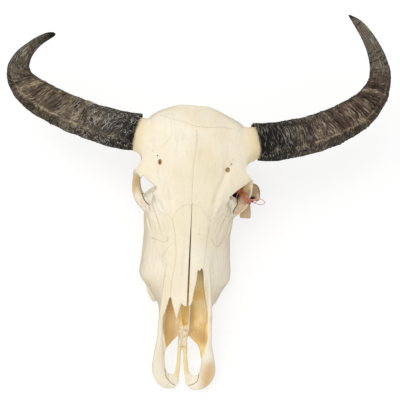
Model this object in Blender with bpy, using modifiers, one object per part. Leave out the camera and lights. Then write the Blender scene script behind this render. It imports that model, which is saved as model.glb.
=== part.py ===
"""Water buffalo skull with its horn sheaths, life size, lying on its cheek teeth and paracondylar processes.

Everything is laid out in the face frame, which is easy to measure a skull in: x runs across the skull (+x is
the animal's left), y runs up the face from the tip of the upper jaw to the crown, and z stands out of the
forehead, with z = 0 on the line of the nasal bones. One empty then tips the face frame into the resting pose.
Lengths are metres.
"""

import math
from collections import namedtuple

import bmesh
import bpy
import numpy as np
from mathutils import Matrix, Vector

# Resting pose: the face slopes down towards the muzzle, and the model stands on the plane z = 0.
FACE_SLOPE = math.radians(15.0)
FLOOR_AT_MUZZLE = -0.0646  # face frame z of the floor below y = 0
REST_SHIFT = Vector((-0.0059, -0.3389, 0.0624))  # brings the bounding box's bottom centre to the origin

# How finely the fused bone is made: the clay-like union is meshed on this grid, smoothed and thinned out.
GRID = 0.0022
SMOOTHING_PASSES = 2
BONE_TRIANGLES = 3350
SUTURE_GAP = 0.0006
SHARP_EDGE = math.radians(50.0)

# The face leans a little to the animal's left: the midline drifts across as it runs down, the sides stay put.
LEAN = 0.0275
LEAN_PIVOT = 0.264
LEAN_FADE = (0.060, 0.100)

BONE = ("bone", (0.93, 0.86, 0.70), 0.62)
HORN = ("horn", (0.115, 0.095, 0.078), 0.50)
CARD = ("card", (0.56, 0.42, 0.27), 0.85)
ELASTIC = ("elastic", (0.83, 0.20, 0.11), 0.45)

# One cross-section of the fused skull. Top and palate are heights on the midline, the rest (x, z) pairs.
Station = namedtuple("Station", "y top brow cheek jaw palate")
SKULL_STATIONS = (
    Station(0.046, -0.036, (0.031, -0.039), (0.040, -0.046), (0.033, -0.054), -0.054),
    Station(0.070, -0.027, (0.033, -0.031), (0.045, -0.048), (0.037, -0.063), -0.060),
    Station(0.100, -0.016, (0.035, -0.020), (0.047, -0.048), (0.040, -0.072), -0.064),
    Station(0.136, -0.007, (0.034, -0.013), (0.0485, -0.056), (0.043, -0.084), -0.067),
    Station(0.152, -0.004, (0.034, -0.012), (0.056, -0.064), (0.054, -0.092), -0.069),
    Station(0.170, -0.003, (0.034, -0.011), (0.069, -0.072), (0.064, -0.099), -0.072),
    Station(0.195, -0.001, (0.034, -0.009), (0.0835, -0.076), (0.069, -0.108), -0.076),
    Station(0.225, 0.000, (0.036, -0.008), (0.0795, -0.071), (0.071, -0.115), -0.081),
    Station(0.270, 0.002, (0.038, -0.007), (0.0775, -0.066), (0.071, -0.127), -0.090),
    Station(0.310, 0.003, (0.044, -0.005), (0.081, -0.060), (0.066, -0.136), -0.100),
    Station(0.334, 0.005, (0.060, -0.006), (0.064, -0.048), (0.036, -0.122), -0.110),
    Station(0.352, 0.008, (0.078, -0.008), (0.049, -0.042), (0.028, -0.118), -0.119),
    Station(0.378, 0.011, (0.104, -0.013), (0.046, -0.050), (0.027, -0.122), -0.128),
    Station(0.400, 0.014, (0.094, -0.015), (0.049, -0.060), (0.030, -0.128), -0.134),
    Station(0.430, 0.015, (0.093, -0.016), (0.057, -0.078), (0.042, -0.134), -0.142),
    Station(0.458, 0.010, (0.088, -0.020), (0.080, -0.094), (0.058, -0.138), -0.148),
    Station(0.476, -0.002, (0.079, -0.026), (0.080, -0.096), (0.050, -0.140), -0.146),
    Station(0.492, -0.018, (0.056, -0.034), (0.056, -0.084), (0.028, -0.114), -0.126),
    Station(0.505, -0.036, (0.027, -0.043), (0.024, -0.070), (0.012, -0.092), -0.098),
)

# One cross-section of a bar of bone: its centre, its width across and its thickness.
Bar = namedtuple("Bar", "x y z width thick")
PREMAXILLA_SIDE = (
    Bar(0.0370, 0.220, -0.013, 0.005, 0.008),
    Bar(0.0400, 0.175, -0.019, 0.008, 0.010),
    Bar(0.0435, 0.115, -0.028, 0.011, 0.014),
    Bar(0.0440, 0.070, -0.036, 0.013, 0.016),
    Bar(0.0450, 0.045, -0.041, 0.021, 0.017),
    Bar(0.0445, 0.020, -0.045, 0.028, 0.016),
    Bar(0.0345, 0.002, -0.047, 0.024, 0.012),
    Bar(0.0210, -0.004, -0.048, 0.018, 0.009),
    Bar(0.0105, -0.004, -0.049, 0.010, 0.007),
)
PREMAXILLA_MIDDLE = (
    Bar(0.0085, -0.005, -0.049, 0.008, 0.007),
    Bar(0.0068, 0.030, -0.051, 0.0075, 0.008),
    Bar(0.0055, 0.060, -0.054, 0.008, 0.009),
    Bar(0.0048, 0.085, -0.058, 0.009, 0.009),
    Bar(0.0045, 0.115, -0.062, 0.009, 0.010),
)
CHEEK_BONE = (
    Bar(0.062, 0.304, -0.062, 0.020, 0.032),
    Bar(0.0815, 0.317, -0.067, 0.019, 0.029),
    Bar(0.0945, 0.333, -0.071, 0.020, 0.024),
    Bar(0.1020, 0.356, -0.077, 0.0155, 0.021),
    Bar(0.1000, 0.384, -0.084, 0.010, 0.018),
    Bar(0.0930, 0.408, -0.090, 0.009, 0.016),
    Bar(0.0830, 0.432, -0.096, 0.012, 0.017),
    Bar(0.0720, 0.448, -0.101, 0.018, 0.018),
)
BAR_BEHIND_EYE = (
    Bar(0.0995, 0.345, -0.079, 0.0185, 0.014),
    Bar(0.1010, 0.358, -0.060, 0.0175, 0.012),
    Bar(0.1015, 0.370, -0.038, 0.0165, 0.011),
    Bar(0.1000, 0.379, -0.021, 0.0160, 0.011),
    Bar(0.0900, 0.386, -0.014, 0.018, 0.011),
    Bar(0.0740, 0.392, -0.011, 0.020, 0.012),
)
BROW_RIM = (
    Bar(0.0480, 0.332, -0.012, 0.014, 0.014),
    Bar(0.0660, 0.343, -0.013, 0.012, 0.012),
    Bar(0.0760, 0.3555, -0.013, 0.011, 0.010),
    Bar(0.0880, 0.3690, -0.014, 0.011, 0.010),
    Bar(0.0990, 0.3790, -0.018, 0.012, 0.010),
)
TEAR_BONE = (
    Bar(0.0500, 0.342, -0.038, 0.034, 0.034),
    Bar(0.0660, 0.340, -0.046, 0.024, 0.026),
    Bar(0.0780, 0.331, -0.060, 0.020, 0.020),
    Bar(0.0880, 0.326, -0.068, 0.016, 0.018),
)
HORN_CORE_ROOT = (
    Bar(0.040, 0.430, -0.030, 0.094, 0.046),
    Bar(0.078, 0.436, -0.033, 0.081, 0.054),
)
HORN_CORE_NECK = 0.011  # how far before the sheath's rim the core takes the sheath's own direction
HORN_CORE_IN_SOCKET = 0.011
HORN_CORE_PLAY = 0.0030  # how far inside the sheath's own outline it stays there
PTERYGOID = (
    Bar(0.026, 0.296, -0.122, 0.008, 0.026),
    Bar(0.027, 0.325, -0.128, 0.006, 0.042),
    Bar(0.027, 0.355, -0.128, 0.006, 0.040),
    Bar(0.026, 0.380, -0.126, 0.007, 0.018),
)
CONDYLE_HORN = (
    Bar(0.054, 0.464, -0.122, 0.026, 0.022),
    Bar(0.052, 0.458, -0.150, 0.020, 0.016),
    Bar(0.050, 0.452, -0.178, 0.013, 0.011),
    Bar(0.049, 0.449, -0.192, 0.010, 0.008),
)
ALVEOLAR_RIDGE = (
    Bar(0.0530, 0.141, -0.086, 0.009, 0.010),
    Bar(0.0560, 0.150, -0.090, 0.013, 0.016),
    Bar(0.0620, 0.175, -0.097, 0.022, 0.020),
    Bar(0.0640, 0.225, -0.110, 0.026, 0.024),
    Bar(0.0630, 0.270, -0.122, 0.026, 0.024),
    Bar(0.0600, 0.305, -0.130, 0.022, 0.022),
)

# Rounded lumps of bone on the animal's left; the right side mirrors them.
Lump = namedtuple("Lump", "name centre radii")
SIDE_LUMPS = (
    Lump("incisor_shelf", (0.024, 0.003, -0.050), (0.018, 0.011, 0.005)),
    Lump("condyle", (0.027, 0.468, -0.148), (0.017, 0.024, 0.021)),
    Lump("ear", (0.068, 0.428, -0.110), (0.016, 0.017, 0.022)),
)
CHOANA = Lump("choana", (0.0, 0.345, -0.134), (0.017, 0.055, 0.026))
VOMER_CENTRE = (0.0, 0.190, -0.058)
VOMER_SIZES = (0.009, 0.200, 0.026)
VOMER_TILT = -0.13

# The horn sheaths differ: the animal's right one curls in to a blunt tip, its left one sweeps up to a point.
RIGHT_SHEATH = (
    Bar(-0.1070, 0.4492, -0.035, 0.0690, 0.056),
    Bar(-0.1380, 0.4514, -0.039, 0.0705, 0.057),
    Bar(-0.2019, 0.4663, -0.048, 0.0680, 0.055),
    Bar(-0.2505, 0.4839, -0.056, 0.0660, 0.052),
    Bar(-0.2923, 0.5034, -0.061, 0.0620, 0.048),
    Bar(-0.3200, 0.5270, -0.061, 0.0510, 0.041),
    Bar(-0.3265, 0.5500, -0.058, 0.0415, 0.035),
    Bar(-0.3205, 0.5690, -0.053, 0.0320, 0.028),
    Bar(-0.3080, 0.5850, -0.047, 0.0235, 0.022),
    Bar(-0.2930, 0.5985, -0.042, 0.0180, 0.017),
    Bar(-0.2765, 0.6080, -0.037, 0.0140, 0.013),
    Bar(-0.2630, 0.6125, -0.033, 0.0070, 0.007),
)
LEFT_SHEATH = (
    Bar(0.1090, 0.4470, -0.035, 0.0695, 0.056),
    Bar(0.1420, 0.4500, -0.039, 0.0725, 0.058),
    Bar(0.2064, 0.4665, -0.048, 0.0715, 0.057),
    Bar(0.2558, 0.4880, -0.057, 0.0705, 0.055),
    Bar(0.3031, 0.5183, -0.062, 0.0650, 0.051),
    Bar(0.3300, 0.5520, -0.062, 0.0525, 0.044),
    Bar(0.3380, 0.5850, -0.059, 0.0430, 0.037),
    Bar(0.3325, 0.6120, -0.055, 0.0362, 0.032),
    Bar(0.3220, 0.6330, -0.050, 0.0300, 0.027),
    Bar(0.3050, 0.6570, -0.044, 0.0238, 0.022),
    Bar(0.2843, 0.6778, -0.038, 0.0165, 0.016),
    Bar(0.2640, 0.6912, -0.032, 0.0030, 0.003),
)
# The sheath's rounded three-cornered section in halves of its width and thickness. The first point runs along the
# inside of the curve, and the fourth is the ridge on the front face. The last rings round off to a circle.
SHEATH_SECTION = (
    (0.97, 0.02),
    (0.70, 0.64),
    (0.12, 0.94),
    (-0.44, 0.97),
    (-0.80, 0.66),
    (-1.00, 0.02),
    (-0.70, -0.68),
    (0.00, -1.00),
    (0.66, -0.74),
)
SHEATH_RINGS = 22
SHEATH_SIDES = 16
SHEATH_ROUND_FROM = 0.55
SOCKET_DEPTH = 0.0150
SOCKET_WALL = 0.0018
SHEATH_CLEARANCE = 0.0004

# The opening of the nose in plan, with the prongs at the ends of the nasal bones.
NASAL_OPENING = (
    (-0.0370, 0.030),
    (-0.0380, 0.130),
    (-0.0300, 0.161),
    (-0.0235, 0.140),
    (-0.0172, 0.1165),
    (-0.0145, 0.128),
    (-0.0130, 0.148),
    (-0.0015, 0.142),
    (0.0030, 0.141),
    (0.0065, 0.168),
    (0.0110, 0.198),
    (0.0140, 0.217),
    (0.0170, 0.206),
    (0.0205, 0.212),
    (0.0265, 0.192),
    (0.0330, 0.160),
    (0.0380, 0.128),
    (0.0370, 0.030),
)
# The nose cavity: y, half width, roof z, floor z.
NOSE_CAVITY = (
    (0.022, 0.032, 0.010, -0.045),
    (0.060, 0.036, 0.005, -0.050),
    (0.100, 0.037, -0.004, -0.055),
    (0.145, 0.037, -0.007, -0.059),
    (0.200, 0.038, -0.006, -0.066),
    (0.260, 0.039, -0.005, -0.076),
    (0.334, 0.036, -0.004, -0.086),
)
NASAL_OPENING_HEIGHTS = (-0.040, 0.040)
PALATE_FISSURE = ((0.0210, 0.0460), (0.0105, 0.0340))  # centre and half sizes in plan
FISSURE_HEIGHTS = (-0.055, 0.050)  # centre and half height
FISSURE_TURN = math.radians(5.0)

# Cheek teeth of one side from front to back: length along the row, width, and how far short of the floor they stop.
Tooth = namedtuple("Tooth", "name length width short")
CHEEK_TEETH = (
    Tooth("P2", 0.0165, 0.012, 0.0035),
    Tooth("P3", 0.0195, 0.016, 0.0020),
    Tooth("P4", 0.0200, 0.019, 0.0010),
    Tooth("M1", 0.0260, 0.022, 0.0),
    Tooth("M2", 0.0300, 0.024, 0.0),
    Tooth("M3", 0.0340, 0.022, 0.0),
)
TOOTH_ROW_START = 0.1460
TOOTH_ROW_OUTSIDE = ((0.140, 0.0575), (0.165, 0.0670), (0.190, 0.0715), (0.255, 0.0725), (0.310, 0.0690))
TOOTH_ROOT = 0.020
TOOTH_GAP = 0.0010

# The tag behind the animal's left eye socket: a folded card held by an elastic loop.
CARD_OUTLINE = (
    (0.0985, 0.3066),
    (0.1170, 0.3066),
    (0.1165, 0.3370),
    (0.1310, 0.3405),
    (0.1330, 0.3520),
    (0.1315, 0.3620),
    (0.1270, 0.3690),
    (0.1200, 0.3720),
    (0.1125, 0.3710),
    (0.1075, 0.3660),
    (0.1055, 0.3450),
    (0.0985, 0.3370),
)
CARD_LEVEL = -0.0955
CARD_THICKNESS = 0.0008
EYELET = (0.1157, 0.3433, 0.0028)
BAND_ROUND_BONE = (
    (0.0840, 0.3470, -0.0640),
    (0.0900, 0.3455, -0.0545),
    (0.1040, 0.3420, -0.0530),
    (0.1145, 0.3420, -0.0620),
    (0.1157, 0.3433, -0.0780),
    (0.1157, 0.3433, -0.0955),
    (0.1080, 0.3440, -0.1000),
    (0.0930, 0.3460, -0.0990),
    (0.0835, 0.3470, -0.0860),
)
BAND_LOOSE_END = (
    (0.1060, 0.3420, -0.0535),
    (0.1190, 0.3455, -0.0530),
    (0.1300, 0.3447, -0.0505),
    (0.1350, 0.3395, -0.0500),
    (0.1300, 0.3345, -0.0505),
    (0.1180, 0.3365, -0.0530),
)
BAND_THICKNESS = 0.0026
LOOSE_END_THICKNESS = 0.0018

FLOOR_BOX = 1.4
# The seams in the bone. Plan lines are (x, y); side lines are (y, z) and run on from bone to bone.
BELOW_ALL, ABOVE_ALL = -0.2, 0.03
NASAL_FLOOR = -0.019  # the nasal bones reach this deep
FACE_EDGE = ((0.0, 0.322), (0.026, 0.312), (0.0335, 0.2985), (0.056, 0.308), (0.130, 0.318))
MIDLINE = ((0.0, -0.03), (0.0, 0.3221))
NASAL_SPLIT = ((0.0, 0.130), (0.0, 0.3215))
NASAL_SPLIT_WIDTH = 0.0022
NASAL_SPLIT_FLOOR = -0.014
NASAL_EDGE_RIGHT = ((-0.0275, 0.150), (-0.0335, 0.220), (-0.0335, 0.300))
NASAL_EDGE_LEFT = ((0.0190, 0.200), (0.0270, 0.232), (0.0335, 0.300))
PALATE_FRONT = ((0.0, 0.066, -0.115), (0.068, SUTURE_GAP, 0.150))  # centre and sizes of a wall across the palate
NAPE = ((0.0, 0.460, -0.095), (0.24, 0.20, SUTURE_GAP))
NAPE_TILT = math.radians(54)
PREMAXILLA_EDGE = ((0.175, -0.026), (0.115, -0.038), (0.0665, -0.0475), (0.066, -0.2))
PREMAXILLA_OUTSIDE = 0.080
PREMAXILLA_INSIDE = 0.0195
# Which side, how far in the bone's upper end reaches, and its y.
PREMAXILLA_TOPS = ((1.0, "left", 0.0195, 0.212), (-1.0, "right", 0.0325, 0.230))
CHEEK_ROOT = ((0.0790, 0.296), (0.0850, 0.345))
BROW_END = ((0.103, 0.376, -0.0290), (0.040, 0.05, SUTURE_GAP))
ARCH_END = ((0.093, 0.404, -0.090), (0.030, SUTURE_GAP, 0.04))

# Where each bone's own volume lies, to name the pieces that the seams leave.
BONE_SEEDS = {
    "cranium": (0.0, 0.400, -0.060),
    "occipital_bone": (0.0, 0.466, -0.133),
    "zygomatic_left": (0.098, 0.359, -0.067),
    "zygomatic_right": (-0.098, 0.359, -0.067),
    "maxilla_left": (0.050, 0.220, -0.080),
    "maxilla_right": (-0.050, 0.220, -0.080),
    "nasal_bone_left": (0.018, 0.250, -0.004),
    "nasal_bone_right": (-0.018, 0.230, -0.004),
    "premaxilla_left": (0.035, 0.070, -0.035),
    "premaxilla_right": (-0.035, 0.070, -0.035),
}
SMALLEST_BONE = 40  # faces; anything less is a crumb left between two seams


def floor_z(y):
    """Face frame z of the floor below a point of the face."""
    return FLOOR_AT_MUZZLE - math.tan(FACE_SLOPE) * y


def clear_scene():
    for obj in list(bpy.data.objects):
        bpy.data.objects.remove(obj)


def collection(name):
    made = bpy.data.collections.new(name)
    bpy.context.scene.collection.children.link(made)
    return made


def add_object(name, mesh, where):
    obj = bpy.data.objects.new(name, mesh)
    where.objects.link(obj)
    return obj


def mesh_from(bm, name):
    mesh = bpy.data.meshes.new(name)
    bmesh.ops.recalc_face_normals(bm, faces=bm.faces)
    bm.to_mesh(mesh)
    bm.free()
    return mesh


def smooth_curve(knots, count, closed=False):
    """Points of a Catmull-Rom curve through the knots, evenly spaced by knot."""
    knots = np.asarray(knots, float)
    if closed:
        padded = np.vstack([knots[-1:], knots, knots[:2]])
    else:
        padded = np.vstack([2 * knots[0] - knots[1], knots, 2 * knots[-1] - knots[-2]])
    spans = len(padded) - 3
    found = []
    for t in np.linspace(0, spans, count, endpoint=not closed):
        i = min(int(t), spans - 1)
        s = t - i
        a, b, c, d = padded[i : i + 4]
        bend, twist = 2 * a - 5 * b + 4 * c - d, 3 * b - a - 3 * c + d
        found.append(0.5 * (2 * b + (c - a) * s + bend * s**2 + twist * s**3))
    return np.array(found)


def loft(rings, name, where):
    """A closed solid through a row of rings, each a list of the same number of points."""
    bm = bmesh.new()
    loops = [[bm.verts.new(point) for point in ring] for ring in rings]
    for one, two in zip(loops, loops[1:]):
        for i in range(len(one)):
            j = (i + 1) % len(one)
            bm.faces.new((one[i], one[j], two[j], two[i]))
    bm.faces.new(loops[0])
    bm.faces.new(loops[-1][::-1])
    bmesh.ops.triangulate(bm, faces=[face for face in bm.faces if len(face.verts) > 4])
    return add_object(name, mesh_from(bm, name), where)


def ellipsoid(centre, radii, name, where, turn=None):
    """A ball stretched to three radii, turned by an optional (angle, axis)."""
    bm = bmesh.new()
    bmesh.ops.create_icosphere(bm, subdivisions=3, radius=1.0)
    matrix = Matrix.Diagonal((*radii, 1.0))
    if turn:
        matrix = Matrix.Rotation(turn[0], 4, turn[1]) @ matrix
    bm.transform(Matrix.Translation(centre) @ matrix)
    return add_object(name, mesh_from(bm, name), where)


def block(centre, sizes, name, where, turn=None):
    """A box of three sizes, turned by an optional (angle, axis)."""
    bm = bmesh.new()
    bmesh.ops.create_cube(bm, size=1.0)
    matrix = Matrix.Diagonal((*sizes, 1.0))
    if turn:
        matrix = Matrix.Rotation(turn[0], 4, turn[1]) @ matrix
    bm.transform(Matrix.Translation(centre) @ matrix)
    return add_object(name, mesh_from(bm, name), where)


def prism(outline, low, high, name, where):
    """A plan outline raised from one z to another."""
    return loft([[(x, y, z) for x, y in outline] for z in (low, high)], name, where)


def blade(line, low, high, name, where, width=SUTURE_GAP, sideways=False):
    """A thin wall along a line, to part two bones with: upright on a plan line, or sideways on a (y, z) line."""
    points = [Vector(point) for point in line]
    left, right = [], []
    for i, point in enumerate(points):
        along = (points[min(i + 1, len(points) - 1)] - points[max(i - 1, 0)]).normalized()
        side = Vector((-along.y, along.x)) * width / 2
        left.append(point + side)
        right.append(point - side)
    outline = [tuple(p) for p in left + right[::-1]]
    if sideways:
        return loft([[(x, y, z) for y, z in outline] for x in (low, high)], name, where)
    return prism(outline, low, high, name, where)


def oval(count):
    """A unit circle of points."""
    return [(math.cos(turn), math.sin(turn)) for turn in np.linspace(0, 2 * math.pi, count, endpoint=False)]


def bar_rings(sections, rings, outline, round_from=1.0):
    """Rings of a section outline carried along a bar's centre line, rounding off to a circle past round_from."""
    line = smooth_curve([tuple(s) for s in sections], rings)
    inward = -1.0 if line[-1][0] > line[0][0] else 1.0
    circle = oval(len(outline))
    loops = []
    for i, (x, y, z, width, thick) in enumerate(line):
        along = Vector(line[min(i + 1, rings - 1)][:3] - line[max(i - 1, 0)][:3]).normalized()
        upright = Vector((0.0, 0.0, 1.0)) if abs(along.z) < 0.7 else Vector((0.0, 1.0, 0.0))
        across = along.cross(upright).normalized()
        depth = across.cross(along)
        mix = min(1.0, max(0.0, (i / (rings - 1) - round_from) / (1.0 - round_from + 1e-9)))
        loop = []
        for (a, b), (c, d) in zip(outline, circle):
            a, b = a + (c - a) * mix, b + (d - b) * mix
            loop.append(Vector((x, y, z)) + across * inward * a * width / 2 + depth * b * thick / 2)
        loops.append(loop)
    return loops


def bar(sections, name, where, sides=12, rings=24, mirrored=False, outline=None):
    """A bar of bone with oval sections, lofted along its centre line."""
    sign = -1.0 if mirrored else 1.0
    sections = [s._replace(x=sign * s.x) for s in sections]
    return loft(bar_rings(sections, rings, outline or oval(sides)), name, where)


def baked(obj, name, where):
    """The object's evaluated mesh as a new plain object, in place of the old one."""
    graph = bpy.context.evaluated_depsgraph_get()
    graph.update()
    mesh = bpy.data.meshes.new_from_object(obj.evaluated_get(graph))
    bpy.data.objects.remove(obj)
    made = add_object(name, mesh, where)
    mesh.name = name
    return made


def combine(obj, others, operation):
    """Adds one exact Boolean for each of the other objects."""
    for other in others:
        modifier = obj.modifiers.new(operation.lower(), "BOOLEAN")
        modifier.operation = operation
        modifier.object = other
        other.hide_render = True
        other.display_type = "WIRE"


def fused(objects, name, where, triangles=None):
    """Clay-like union of overlapping solids: one mesh on a grid, smoothed, then thinned out if a count is given."""
    bm = bmesh.new()
    for obj in objects:
        bm.from_mesh(obj.data)
        bpy.data.objects.remove(obj)
    whole = add_object(name, mesh_from_loose(bm, name), where)
    remesh = whole.modifiers.new("grid", "REMESH")
    remesh.mode = "VOXEL"
    remesh.voxel_size = GRID
    smooth = whole.modifiers.new("smooth", "SMOOTH")
    smooth.factor = 0.5
    smooth.iterations = SMOOTHING_PASSES
    whole = baked(whole, name, where)
    if triangles:
        thin = whole.modifiers.new("thin", "DECIMATE")
        thin.ratio = triangles / (2 * len(whole.data.polygons))
        whole = baked(whole, name, where)
    return whole


def mesh_from_loose(bm, name):
    """A mesh of several closed shells, each with its own faces pointing outwards."""
    mesh = bpy.data.meshes.new(name)
    bm.to_mesh(mesh)
    bm.free()
    return mesh


def both_sides(make, name):
    """Calls a maker for the animal's left (+x) and right side."""
    return [make(f"{name}_left", 1.0), make(f"{name}_right", -1.0)]


def skull_block(helpers):
    """The fused bones as one loft through the stations."""
    rows = []
    for s in SKULL_STATIONS:
        rows.append([s.y, s.top, *s.brow, *s.cheek, *s.jaw, s.palate])
    rings = []
    for y, top, bx, bz, cx, cz, jx, jz, palate in smooth_curve(rows, 70):
        half = [(0.0, top), (bx, bz), (cx, cz), (jx, jz), (0.0, palate)]
        other = [(-x, z) for x, z in half[3:0:-1]]
        ring = smooth_curve(half + other, 48, closed=True)
        rings.append([(x, y, z) for x, z in ring])
    return loft(rings, "skull_block", helpers)


def nose_cavity(helpers):
    rings = []
    for y, half, roof, floor in smooth_curve(NOSE_CAVITY, 20):
        edge = [(0, roof), (0.8 * half, roof - 0.002), (half, roof - 0.012), (half, (roof + floor) / 2)]
        edge += [(0.85 * half, floor + 0.006), (0.0, floor)]
        edge += [(-x, z) for x, z in edge[4:0:-1]]
        rings.append([(x, y, z) for x, z in smooth_curve(edge, 30, closed=True)])
    return loft(rings, "nose_cavity", helpers)


def main_block(helpers):
    """The skull block with the nose opened and the palate pierced."""
    (fx, fy), (half_x, half_y) = PALATE_FISSURE
    middle, half_z = FISSURE_HEIGHTS
    openings = [
        nose_cavity(helpers),
        prism(NASAL_OPENING, *NASAL_OPENING_HEIGHTS, "nasal_opening", helpers),
        ellipsoid(CHOANA.centre, CHOANA.radii, CHOANA.name, helpers),
    ]
    openings += both_sides(
        lambda name, side: ellipsoid(
            (side * fx, fy, middle), (half_x, half_y, half_z), name, helpers, (side * FISSURE_TURN, "Z")
        ),
        "palate_fissure",
    )
    skull = skull_block(helpers)
    combine(skull, [fused(openings, "openings", helpers)], "DIFFERENCE")
    return baked(skull, "skull_block", helpers)


def added_forms(helpers):
    """Everything that grows from the skull block, overlapping it."""
    bars = {
        "premaxilla_side": PREMAXILLA_SIDE,
        "premaxilla_middle": PREMAXILLA_MIDDLE,
        "cheek_bone": CHEEK_BONE,
        "bar_behind_eye": BAR_BEHIND_EYE,
        "brow_rim": BROW_RIM,
        "tear_bone": TEAR_BONE,
        "pterygoid": PTERYGOID,
        "condyle_horn": CONDYLE_HORN,
        "alveolar_ridge": ALVEOLAR_RIDGE,
    }
    forms = [block(VOMER_CENTRE, VOMER_SIZES, "vomer", helpers, (VOMER_TILT, "X"))]
    for side, tag, sheath in ((1.0, "left", LEFT_SHEATH), (-1.0, "right", RIGHT_SHEATH)):
        forms += [bar(sections, f"{name}_{tag}", helpers, mirrored=side < 0) for name, sections in bars.items()]
        forms.append(bar(horn_core(sheath), f"horn_core_{tag}", helpers, outline=sheath_outline()))
        for name, (x, y, z), radii in SIDE_LUMPS:
            forms.append(ellipsoid((side * x, y, z), radii, f"{name}_{tag}", helpers))
    return forms


def horn_core(sheath):
    """The core's sections: from its root in the skull into the sheath's socket, along the sheath's own line."""
    first, second = (Vector(sheath[i][:3]) for i in (0, 1))
    onward = (second - first).normalized()
    side = math.copysign(1.0, first.x)
    sections = [s._replace(x=side * s.x) for s in HORN_CORE_ROOT]
    for step, play in ((-HORN_CORE_NECK, 0.0), (0.0, 1.0), (HORN_CORE_IN_SOCKET, 1.15)):
        place = first + onward * step
        play = play * 2 * HORN_CORE_PLAY
        sections.append(Bar(*place, sheath[0].width - play, sheath[0].thick - play))
    return sections


def sheath_outline():
    """The sheath's section as a smooth ring of points."""
    return [tuple(point) for point in smooth_curve(SHEATH_SECTION, SHEATH_SIDES, closed=True)]


def middle_of(ring):
    return sum(ring, Vector()) / len(ring)


def grown(ring, distance):
    """The ring made larger by a distance at its narrowest place."""
    centre = middle_of(ring)
    half = min((point - centre).length for point in ring)
    return [centre + (point - centre) * (1.0 + distance / half) for point in ring]


def horn_sheath(sections, name, where, clearance=0.0):
    """A hollow-ended horn: the rings run up the socket's wall, over the rim and out to the tip.

    With a clearance it is thicker all round, to cut its own place out of the bone.
    """
    rings = bar_rings(sections, SHEATH_RINGS, sheath_outline(), SHEATH_ROUND_FROM)
    onward = (middle_of(rings[1]) - middle_of(rings[0])).normalized()
    socket = grown(rings[0], -SOCKET_WALL - clearance)
    bottom = [point + onward * (SOCKET_DEPTH - clearance) for point in socket]
    socket, rim = ([point - onward * clearance for point in ring] for ring in (socket, grown(rings[0], clearance)))
    return loft([bottom, socket, rim] + [grown(ring, clearance) for ring in rings[1:]], name, where)


def cheek_tooth(tooth, start, side, name, where):
    """One tooth: a ribbed block from the bone down to its flat grinding face."""
    middle = start + tooth.length / 2
    outside = np.interp(middle, *zip(*TOOTH_ROW_OUTSIDE))
    slope = (np.interp(middle + 0.01, *zip(*TOOTH_ROW_OUTSIDE)) - outside) / 0.01
    half_l, width = tooth.length / 2 - TOOTH_GAP / 2, tooth.width
    plan = [
        (0.00, -half_l),
        (0.00, -0.55 * half_l),
        (-0.12, -0.28 * half_l),
        (0.00, 0.0),
        (-0.12, 0.42 * half_l),
        (0.00, half_l),
        (-0.62, half_l),
        (-1.00, 0.55 * half_l),
        (-0.86, 0.0),
        (-1.00, -0.55 * half_l),
        (-0.62, -half_l),
    ]
    top, bottom = [], []
    for across, along in plan:
        y = middle + along
        x = outside + slope * along + across * width
        grown = outside + slope * along + (-0.5 + (across + 0.5) * 0.92) * width
        low = floor_z(y) + tooth.short
        top.append((side * grown, y, low + TOOTH_ROOT))
        bottom.append((side * x, y, low))
    return loft([bottom, top], name, where)


def sutures(helpers):
    """Thin walls along the seams between bones."""
    face_edge = [(-x, y) for x, y in FACE_EDGE[:0:-1]] + list(FACE_EDGE)
    seams = [
        blade(NASAL_SPLIT, NASAL_SPLIT_FLOOR, ABOVE_ALL, "between_nasals", helpers, width=NASAL_SPLIT_WIDTH),
        blade(MIDLINE, BELOW_ALL, ABOVE_ALL, "midline", helpers),
        blade(face_edge, BELOW_ALL, ABOVE_ALL, "face_edge", helpers),
        blade(NASAL_EDGE_RIGHT, NASAL_FLOOR, ABOVE_ALL, "nasal_edge_right", helpers),
        blade(NASAL_EDGE_LEFT, NASAL_FLOOR, ABOVE_ALL, "nasal_edge_left", helpers),
        block(*PALATE_FRONT, "palate_front", helpers),
        block(*NAPE, "nape", helpers, (NAPE_TILT, "X")),
    ]
    for side, tag, inner, top in PREMAXILLA_TOPS:
        end = [(top + 0.004, ABOVE_ALL), (top, NASAL_FLOOR - 0.0005)]
        edge = [(top + 0.001, NASAL_FLOOR), *PREMAXILLA_EDGE]
        end_reach = sorted((side * inner, side * PREMAXILLA_OUTSIDE))
        edge_reach = sorted((side * PREMAXILLA_INSIDE, side * PREMAXILLA_OUTSIDE))
        seams += [
            blade(end, *end_reach, f"premaxilla_end_{tag}", helpers, sideways=True),
            blade(edge, *edge_reach, f"premaxilla_edge_{tag}", helpers, sideways=True),
            blade([(side * x, y) for x, y in CHEEK_ROOT], BELOW_ALL, NASAL_FLOOR, f"cheek_root_{tag}", helpers),
        ]
        for (x, y, z), sizes in (BROW_END, ARCH_END):
            seams.append(block((side * x, y, z), sizes, f"arch_seam_{tag}", helpers))
    return seams


def leaned(obj):
    """Moves the midline across as it runs down the face."""
    for vertex in obj.data.vertices:
        x, y, _ = vertex.co
        fade = min(1.0, max(0.0, (abs(x) - LEAN_FADE[0]) / (LEAN_FADE[1] - LEAN_FADE[0])))
        vertex.co.x += LEAN * (LEAN_PIVOT - y) * (1.0 - fade * fade * (3.0 - 2.0 * fade))


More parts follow.
